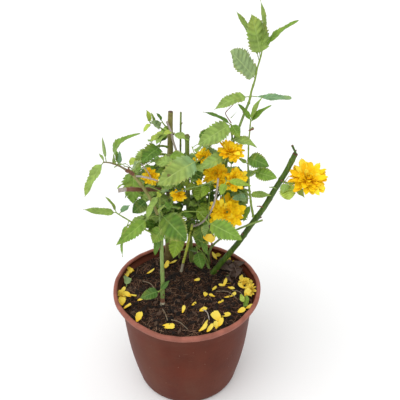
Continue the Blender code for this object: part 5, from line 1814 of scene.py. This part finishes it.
def make_buds(limbs, barks):
    """Buds at the nodes of the canes: small pointed scales that turn by the golden angle up the cane."""
    girths = np.array(BUD_GIRTHS)
    steps = np.linspace(0.0, 1.0, len(girths))[:, None]
    shapes = []
    for name, limb in limbs.items():
        length = limb_length(limb)
        spacing, shift = node_spacing(name, limb)
        size = 2.2 + 0.5 * limb.foot_radius
        first = (spacing * 0.5 - shift) % spacing
        for index, travel in enumerate(np.arange(first, length - 3.0, spacing)):
            share = travel / length
            axis = unit(path_point(limb, min(share + 0.02, 1.0)) - path_point(limb, share))
            turn = direction(GOLDEN_TURN * (index + len(name)), 0.0)
            aside = unit(turn - axis * (turn @ axis))
            root = path_point(limb, share) + aside * path_radius(limb, share) * 0.85
            run = root + unit(aside * 0.7 + axis) * steps * size
            shapes.append(closed_tubes(tube_rings(run, girths * size * 0.3, 8)[None]))
    made_piece("cane_buds", shapes, [barks["brown"][0]], "cane_brown", (), 60.0)


# What has dropped on the soil: place across and away, heading, length, width, curl
FALLEN_PETALS = (
    (-87, -3, 60, 13, 8, 0.5), (-86, -24, 95, 15, 10, 0.3), (-73, -14, -20, 12, 7, 0.2),
    (-61, -22, 20, 10, 5, 0.7), (-61, -55, 80, 18, 9, 0.3), (-22, -73, -5, 18, 9, 0.2),
    (-3, -42, 70, 11, 5, 0.8), (22, -42, 35, 12, 6, 0.4), (39, -55, 115, 19, 13, 0.2),
    (50, -53, -10, 17, 12, 0.2), (38, -70, 100, 12, 7, 0.6), (23, -79, 25, 15, 7, 0.9),
    (25, -12, 80, 9, 7, 0.2), (14, 21, 10, 9, 5, 0.5), (37, 1, 20, 12, 5, 0.6),
    (53, 12, 60, 13, 5, 1.0), (56, 9, -50, 12, 5, 0.9), (48, 8, 180, 10, 5, 0.6),
    (46, -26, 15, 9, 7, 0.3), (56, -18, 5, 11, 5, 0.5), (81, 12, 30, 14, 8, 0.8),
    (84, 6, -40, 13, 6, 0.9), (82, -9, 60, 14, 9, 0.8), (83, -14, -70, 12, 8, 0.7),
    (84, -36, 20, 13, 9, 0.5), (71, 46, -10, 12, 7, 0.2), (58, 66, 40, 13, 6, 0.6),
    (39, 74, 120, 15, 6, 0.7), (44, 80, 10, 12, 8, 0.4), (-21, 58, 20, 15, 6, 0.4),
    (-31, 51, 80, 10, 8, 0.3), (-52, 37, 35, 14, 5, 0.8), (-30, 57, 60, 11, 7, 0.7),
    (-86, 34, 100, 13, 8, 0.3), (-82, 40, 40, 12, 7, 0.6), (-82, 44, 160, 12, 7, 0.8),
    (-80, -12, 150, 12, 7, 0.5), (-89, -10, 100, 12, 8, 0.9), (-77, -36, 30, 12, 8, 0.3),
    (26, -68, 20, 12, 5, 1.0), (30, -78, 60, 14, 6, 0.8), (44, -66, 70, 13, 7, 0.7),
    (61, 2, -20, 11, 5, 0.4), (63, -12, 40, 10, 5, 0.7), (76, 20, 80, 12, 6, 0.6),
    (74, 4, 150, 12, 6, 0.9), (88, 14, 70, 12, 6, 0.5), (72, -44, 30, 12, 7, 0.5),
    (34, -14, 150, 10, 5, 0.5), (10, -30, 40, 8, 4, 0.4), (66, 58, 80, 10, 5, 0.6),
)
# Petals caught among the twigs: place, heading, climb, length, width and roll
CAUGHT_PETALS = (((22, -3, 235), -12, -4, 17, 12, 55), ((46, 4, 242), -60, -50, 9, 7, 20))
# Fallen heads with their petals still on: place across and away, radius, heading and climb
FALLEN_HEADS = ((85, -3, 9.0, 200, 60), (80, 14, 8.0, 250, 70), (-86, -14, 7.0, -20, 50))
# Fallen leaves: place across and away, heading, climb, length, width, roll, tone, arch and bluntness
FALLEN_LEAVES = (
    (46, 68, -62, 6, 34, 15, 50, "dead", 0.24, 0.2), (57, 47, -75, 12, 36, 15, -55, "dead", 0.26, 0.1),
    (70, 33, -110, 14, 28, 11, 70, "dead", 0.28, 0.3), (-84, 8, 95, 20, 17, 12, 30, "pale", 0.10, 1.0),
    (74, 42, -150, 30, 24, 12, -70, "dead", 0.30, 0.2), (62, 56, -20, 24, 26, 10, 65, "dead", 0.30, 0.1),
    (56, 30, 20, 16, 26, 9, 60, "dead", 0.30, 0.2), (50, 50, -20, 20, 24, 12, -60, "dead", 0.30, 0.2),
    (87, -8, 95, 25, 16, 8, 70, "leaf", 0.12, 0.2), (74, -38, 70, 14, 24, 8, 50, "leaf", 0.10, 0.1),
    (78, -30, 110, 20, 16, 7, -40, "spring", 0.12, 0.3),
    (8, 74, 30, 6, 24, 11, -30, "dead", 0.18, 0.2),
)


def dropped_petals(dice):
    """Petals on the soil: each rests on the crumbs under it, tilted a little and curling up."""
    table = np.array(FALLEN_PETALS, float)
    tilt = (dice.random(len(table)) - 0.4) * 24.0
    roll = (dice.random(len(table)) - 0.5) * -40.0
    along, _, out = leaf_frame(table[:, 2], tilt, roll)
    length, width, curl = table[:, 3] * 0.95, table[:, 4] * 0.95, table[:, 5]
    base = on_soil(table, 1.8) - along * (length * 0.5)[:, None]
    rings, uvs = petal_rings(base, along, out, length, width, curl, np.full(len(table), 0.25), dice)
    return closed_tubes(rings, dice.choice(3, len(table), p=(0.45, 0.1, 0.45))[:, None, None], uvs)


def caught_petal(place, heading, climb, length, width, roll, dice):
    """A petal that hangs among the twigs."""
    along, _, out = leaf_frame(heading, climb, roll)
    sizes = (np.array([value], float) for value in (length, width, 0.5, 0.25))
    rings, uvs = petal_rings(np.array([place], float), along[None], out[None], *sizes, dice)
    return closed_tubes(rings, 1, uvs)


def make_fallen():
    """The fallen petals and heads, as one piece."""
    look = bpy.context.scene.kerria_blooms
    dice = np.random.default_rng(77)
    shapes = [dropped_petals(dice)]
    shapes += [caught_petal(*petal, dice) for petal in CAUGHT_PETALS]
    for across, away, radius, heading, climb in FALLEN_HEADS:
        place = tuple(on_soil([(across, away)], radius * 0.45)[0])
        shapes.append(bloom_shapes(Bloom(1.0, place, radius, heading, climb), look))
    materials = [petal_material(f"fallen_{name}", mixed_tone(tone, FALLEN_TONE, 0.7))
                 for name, tone in PETAL_TONES.items()]
    made_piece("fallen_petals", shapes, materials, "foliage", (), 60.0)


def make_fallen_leaves():
    """Withered and green leaves that lie curled on the soil."""
    grown = []
    for across, away, heading, climb, length, width, roll, tone, arch, blunt in FALLEN_LEAVES:
        one = leaf(1.0, heading, climb, length, width, roll, 3.0, tone, arch, blunt)
        grown.append(Grown(on_soil([(across, away)], 1.2)[0], one, False))
    leaf_piece("fallen_leaves", grown, bpy.context.scene.kerria_leaves, leaf_materials(), ())


def make_floor(colour):
    """A wide pale floor."""
    mesh = bpy.data.meshes.new("floor")
    corners = [(x * FLOOR_REACH, y * FLOOR_REACH, 0.0) for x, y in ((-1, -1), (1, -1), (1, 1), (-1, 1))]
    mesh.from_pydata(corners, [], [(0, 1, 2, 3)])
    mesh.materials.append(Tree("floor", tuple(colour), 0.9, 0.1).material)
    floor = placed("floor", mesh)
    floor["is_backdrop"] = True


def make_sky(strength):
    """An even white sky."""
    sky = bpy.data.worlds.new("even_sky")
    sky.use_nodes = True
    background = sky.node_tree.nodes["Background"]
    background.inputs["Color"].default_value = (1.0, 1.0, 1.0, 1.0)
    background.inputs["Strength"].default_value = strength
    bpy.context.scene.world = sky


def make_key_light(strength, spread):
    """A large soft light above the front left."""
    light = bpy.data.lights.new("soft_key", "SUN")
    light.energy = strength
    light.angle = spread
    lamp = placed("soft_key", light)
    lamp.rotation_euler = Vector(KEY_DIRECTION).to_track_quat("-Z", "Y").to_euler()


def make_camera():
    """The photo's camera."""
    camera = bpy.data.cameras.new("photo_camera")
    camera.lens = CAMERA_LENS
    camera.sensor_width = SENSOR_WIDTH
    seen_from = placed("photo_camera", camera)
    seen_from.location = CAMERA_PLACE
    seen_from.rotation_euler = (math.radians(90.0 - CAMERA_PITCH), 0.0, 0.0)
    bpy.context.scene.camera = seen_from


def make_stage(look):
    """The floor, the sky, the light and the camera, shown without a film look."""
    make_floor(look.floor)
    make_sky(look.sky_strength)
    make_key_light(look.key_strength, look.key_spread)
    make_camera()
    bpy.context.scene.view_settings.view_transform = "Standard"
    bpy.context.scene.view_settings.look = "None"


class OBJECT_OT_kerria_stage(bpy.types.Operator):
    """Makes the floor, the lights and the camera"""
    bl_idname = "object.kerria_stage"
    bl_label = "Stage"

    def execute(self, context):
        make_stage(context.scene.kerria_stage)
        return {"FINISHED"}


class OBJECT_OT_kerria_pot(bpy.types.Operator):
    """Makes the plastic pot"""
    bl_idname = "object.kerria_pot"
    bl_label = "Pot"

    def execute(self, context):
        make_pot(context.scene.kerria_pot)
        return {"FINISHED"}


class OBJECT_OT_kerria_soil(bpy.types.Operator):
    """Makes the soil with its fibres and chips"""
    bl_idname = "object.kerria_soil"
    bl_label = "Soil"

    def execute(self, context):
        look = context.scene.kerria_soil
        make_soil(look)
        make_fibres(look)
        make_chips(look)
        return {"FINISHED"}


class OBJECT_OT_kerria_canes(bpy.types.Operator):
    """Makes the canes and boughs"""
    bl_idname = "object.kerria_canes"
    bl_label = "Canes"

    def execute(self, context):
        make_canes()
        return {"FINISHED"}


class OBJECT_OT_kerria_foliage(bpy.types.Operator):
    """Grows the twigs and leaves"""
    bl_idname = "object.kerria_foliage"
    bl_label = "Foliage"

    def execute(self, context):
        make_foliage()
        return {"FINISHED"}


class OBJECT_OT_kerria_blooms(bpy.types.Operator):
    """Makes the blooms"""
    bl_idname = "object.kerria_blooms"
    bl_label = "Blooms"

    def execute(self, context):
        make_blooms()
        return {"FINISHED"}


class OBJECT_OT_kerria_fallen(bpy.types.Operator):
    """Lays the fallen petals on the soil"""
    bl_idname = "object.kerria_fallen"
    bl_label = "Fallen Petals"

    def execute(self, context):
        make_fallen()
        make_fallen_leaves()
        return {"FINISHED"}


STEPS = (
    OBJECT_OT_kerria_stage, OBJECT_OT_kerria_pot, OBJECT_OT_kerria_soil, OBJECT_OT_kerria_canes,
    OBJECT_OT_kerria_foliage, OBJECT_OT_kerria_blooms, OBJECT_OT_kerria_fallen,
)
LOOKS = {
    "kerria_pot": KerriaPot,
    "kerria_soil": KerriaSoil,
    "kerria_canes": KerriaCanes,
    "kerria_leaves": KerriaLeaves,
    "kerria_blooms": KerriaBlooms,
    "kerria_stage": KerriaStage,
}


class VIEW3D_PT_kerria(bpy.types.Panel):
    """The sidebar panel that lists the steps and their values"""
    bl_label = "Potted Kerria"
    bl_idname = "VIEW3D_PT_kerria"
    bl_space_type = "VIEW_3D"
    bl_region_type = "UI"
    bl_category = "Kerria"

    def draw(self, context):
        for step in STEPS:
            self.layout.operator(step.bl_idname)
        for name, group in LOOKS.items():
            box = self.layout.box()
            for key in group.__annotations__:
                box.prop(getattr(context.scene, name), key)


def register():
    """Registers the classes and hangs the looks on the scene."""
    for group in (*LOOKS.values(), *STEPS, VIEW3D_PT_kerria):
        bpy.utils.register_class(group)
    for name, group in LOOKS.items():
        setattr(bpy.types.Scene, name, bpy.props.PointerProperty(type=group))


def unregister():
    """Takes the looks and the classes away again."""
    for name in LOOKS:
        delattr(bpy.types.Scene, name)
    for group in reversed((*LOOKS.values(), *STEPS, VIEW3D_PT_kerria)):
        bpy.utils.unregister_class(group)


def main():
    """Runs the steps in order, then works out the bounds of the solids and of the dressed plant."""
    register()
    for step in STEPS:
        group, call = step.bl_idname.split(".")
        getattr(getattr(bpy.ops, group), call)()
    boxes = {"cad": CAD_BOX, "visual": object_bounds()}
    {name: [list(corner) for corner in box] for name, box in boxes.items()}


if __name__ == "__main__":
    main()
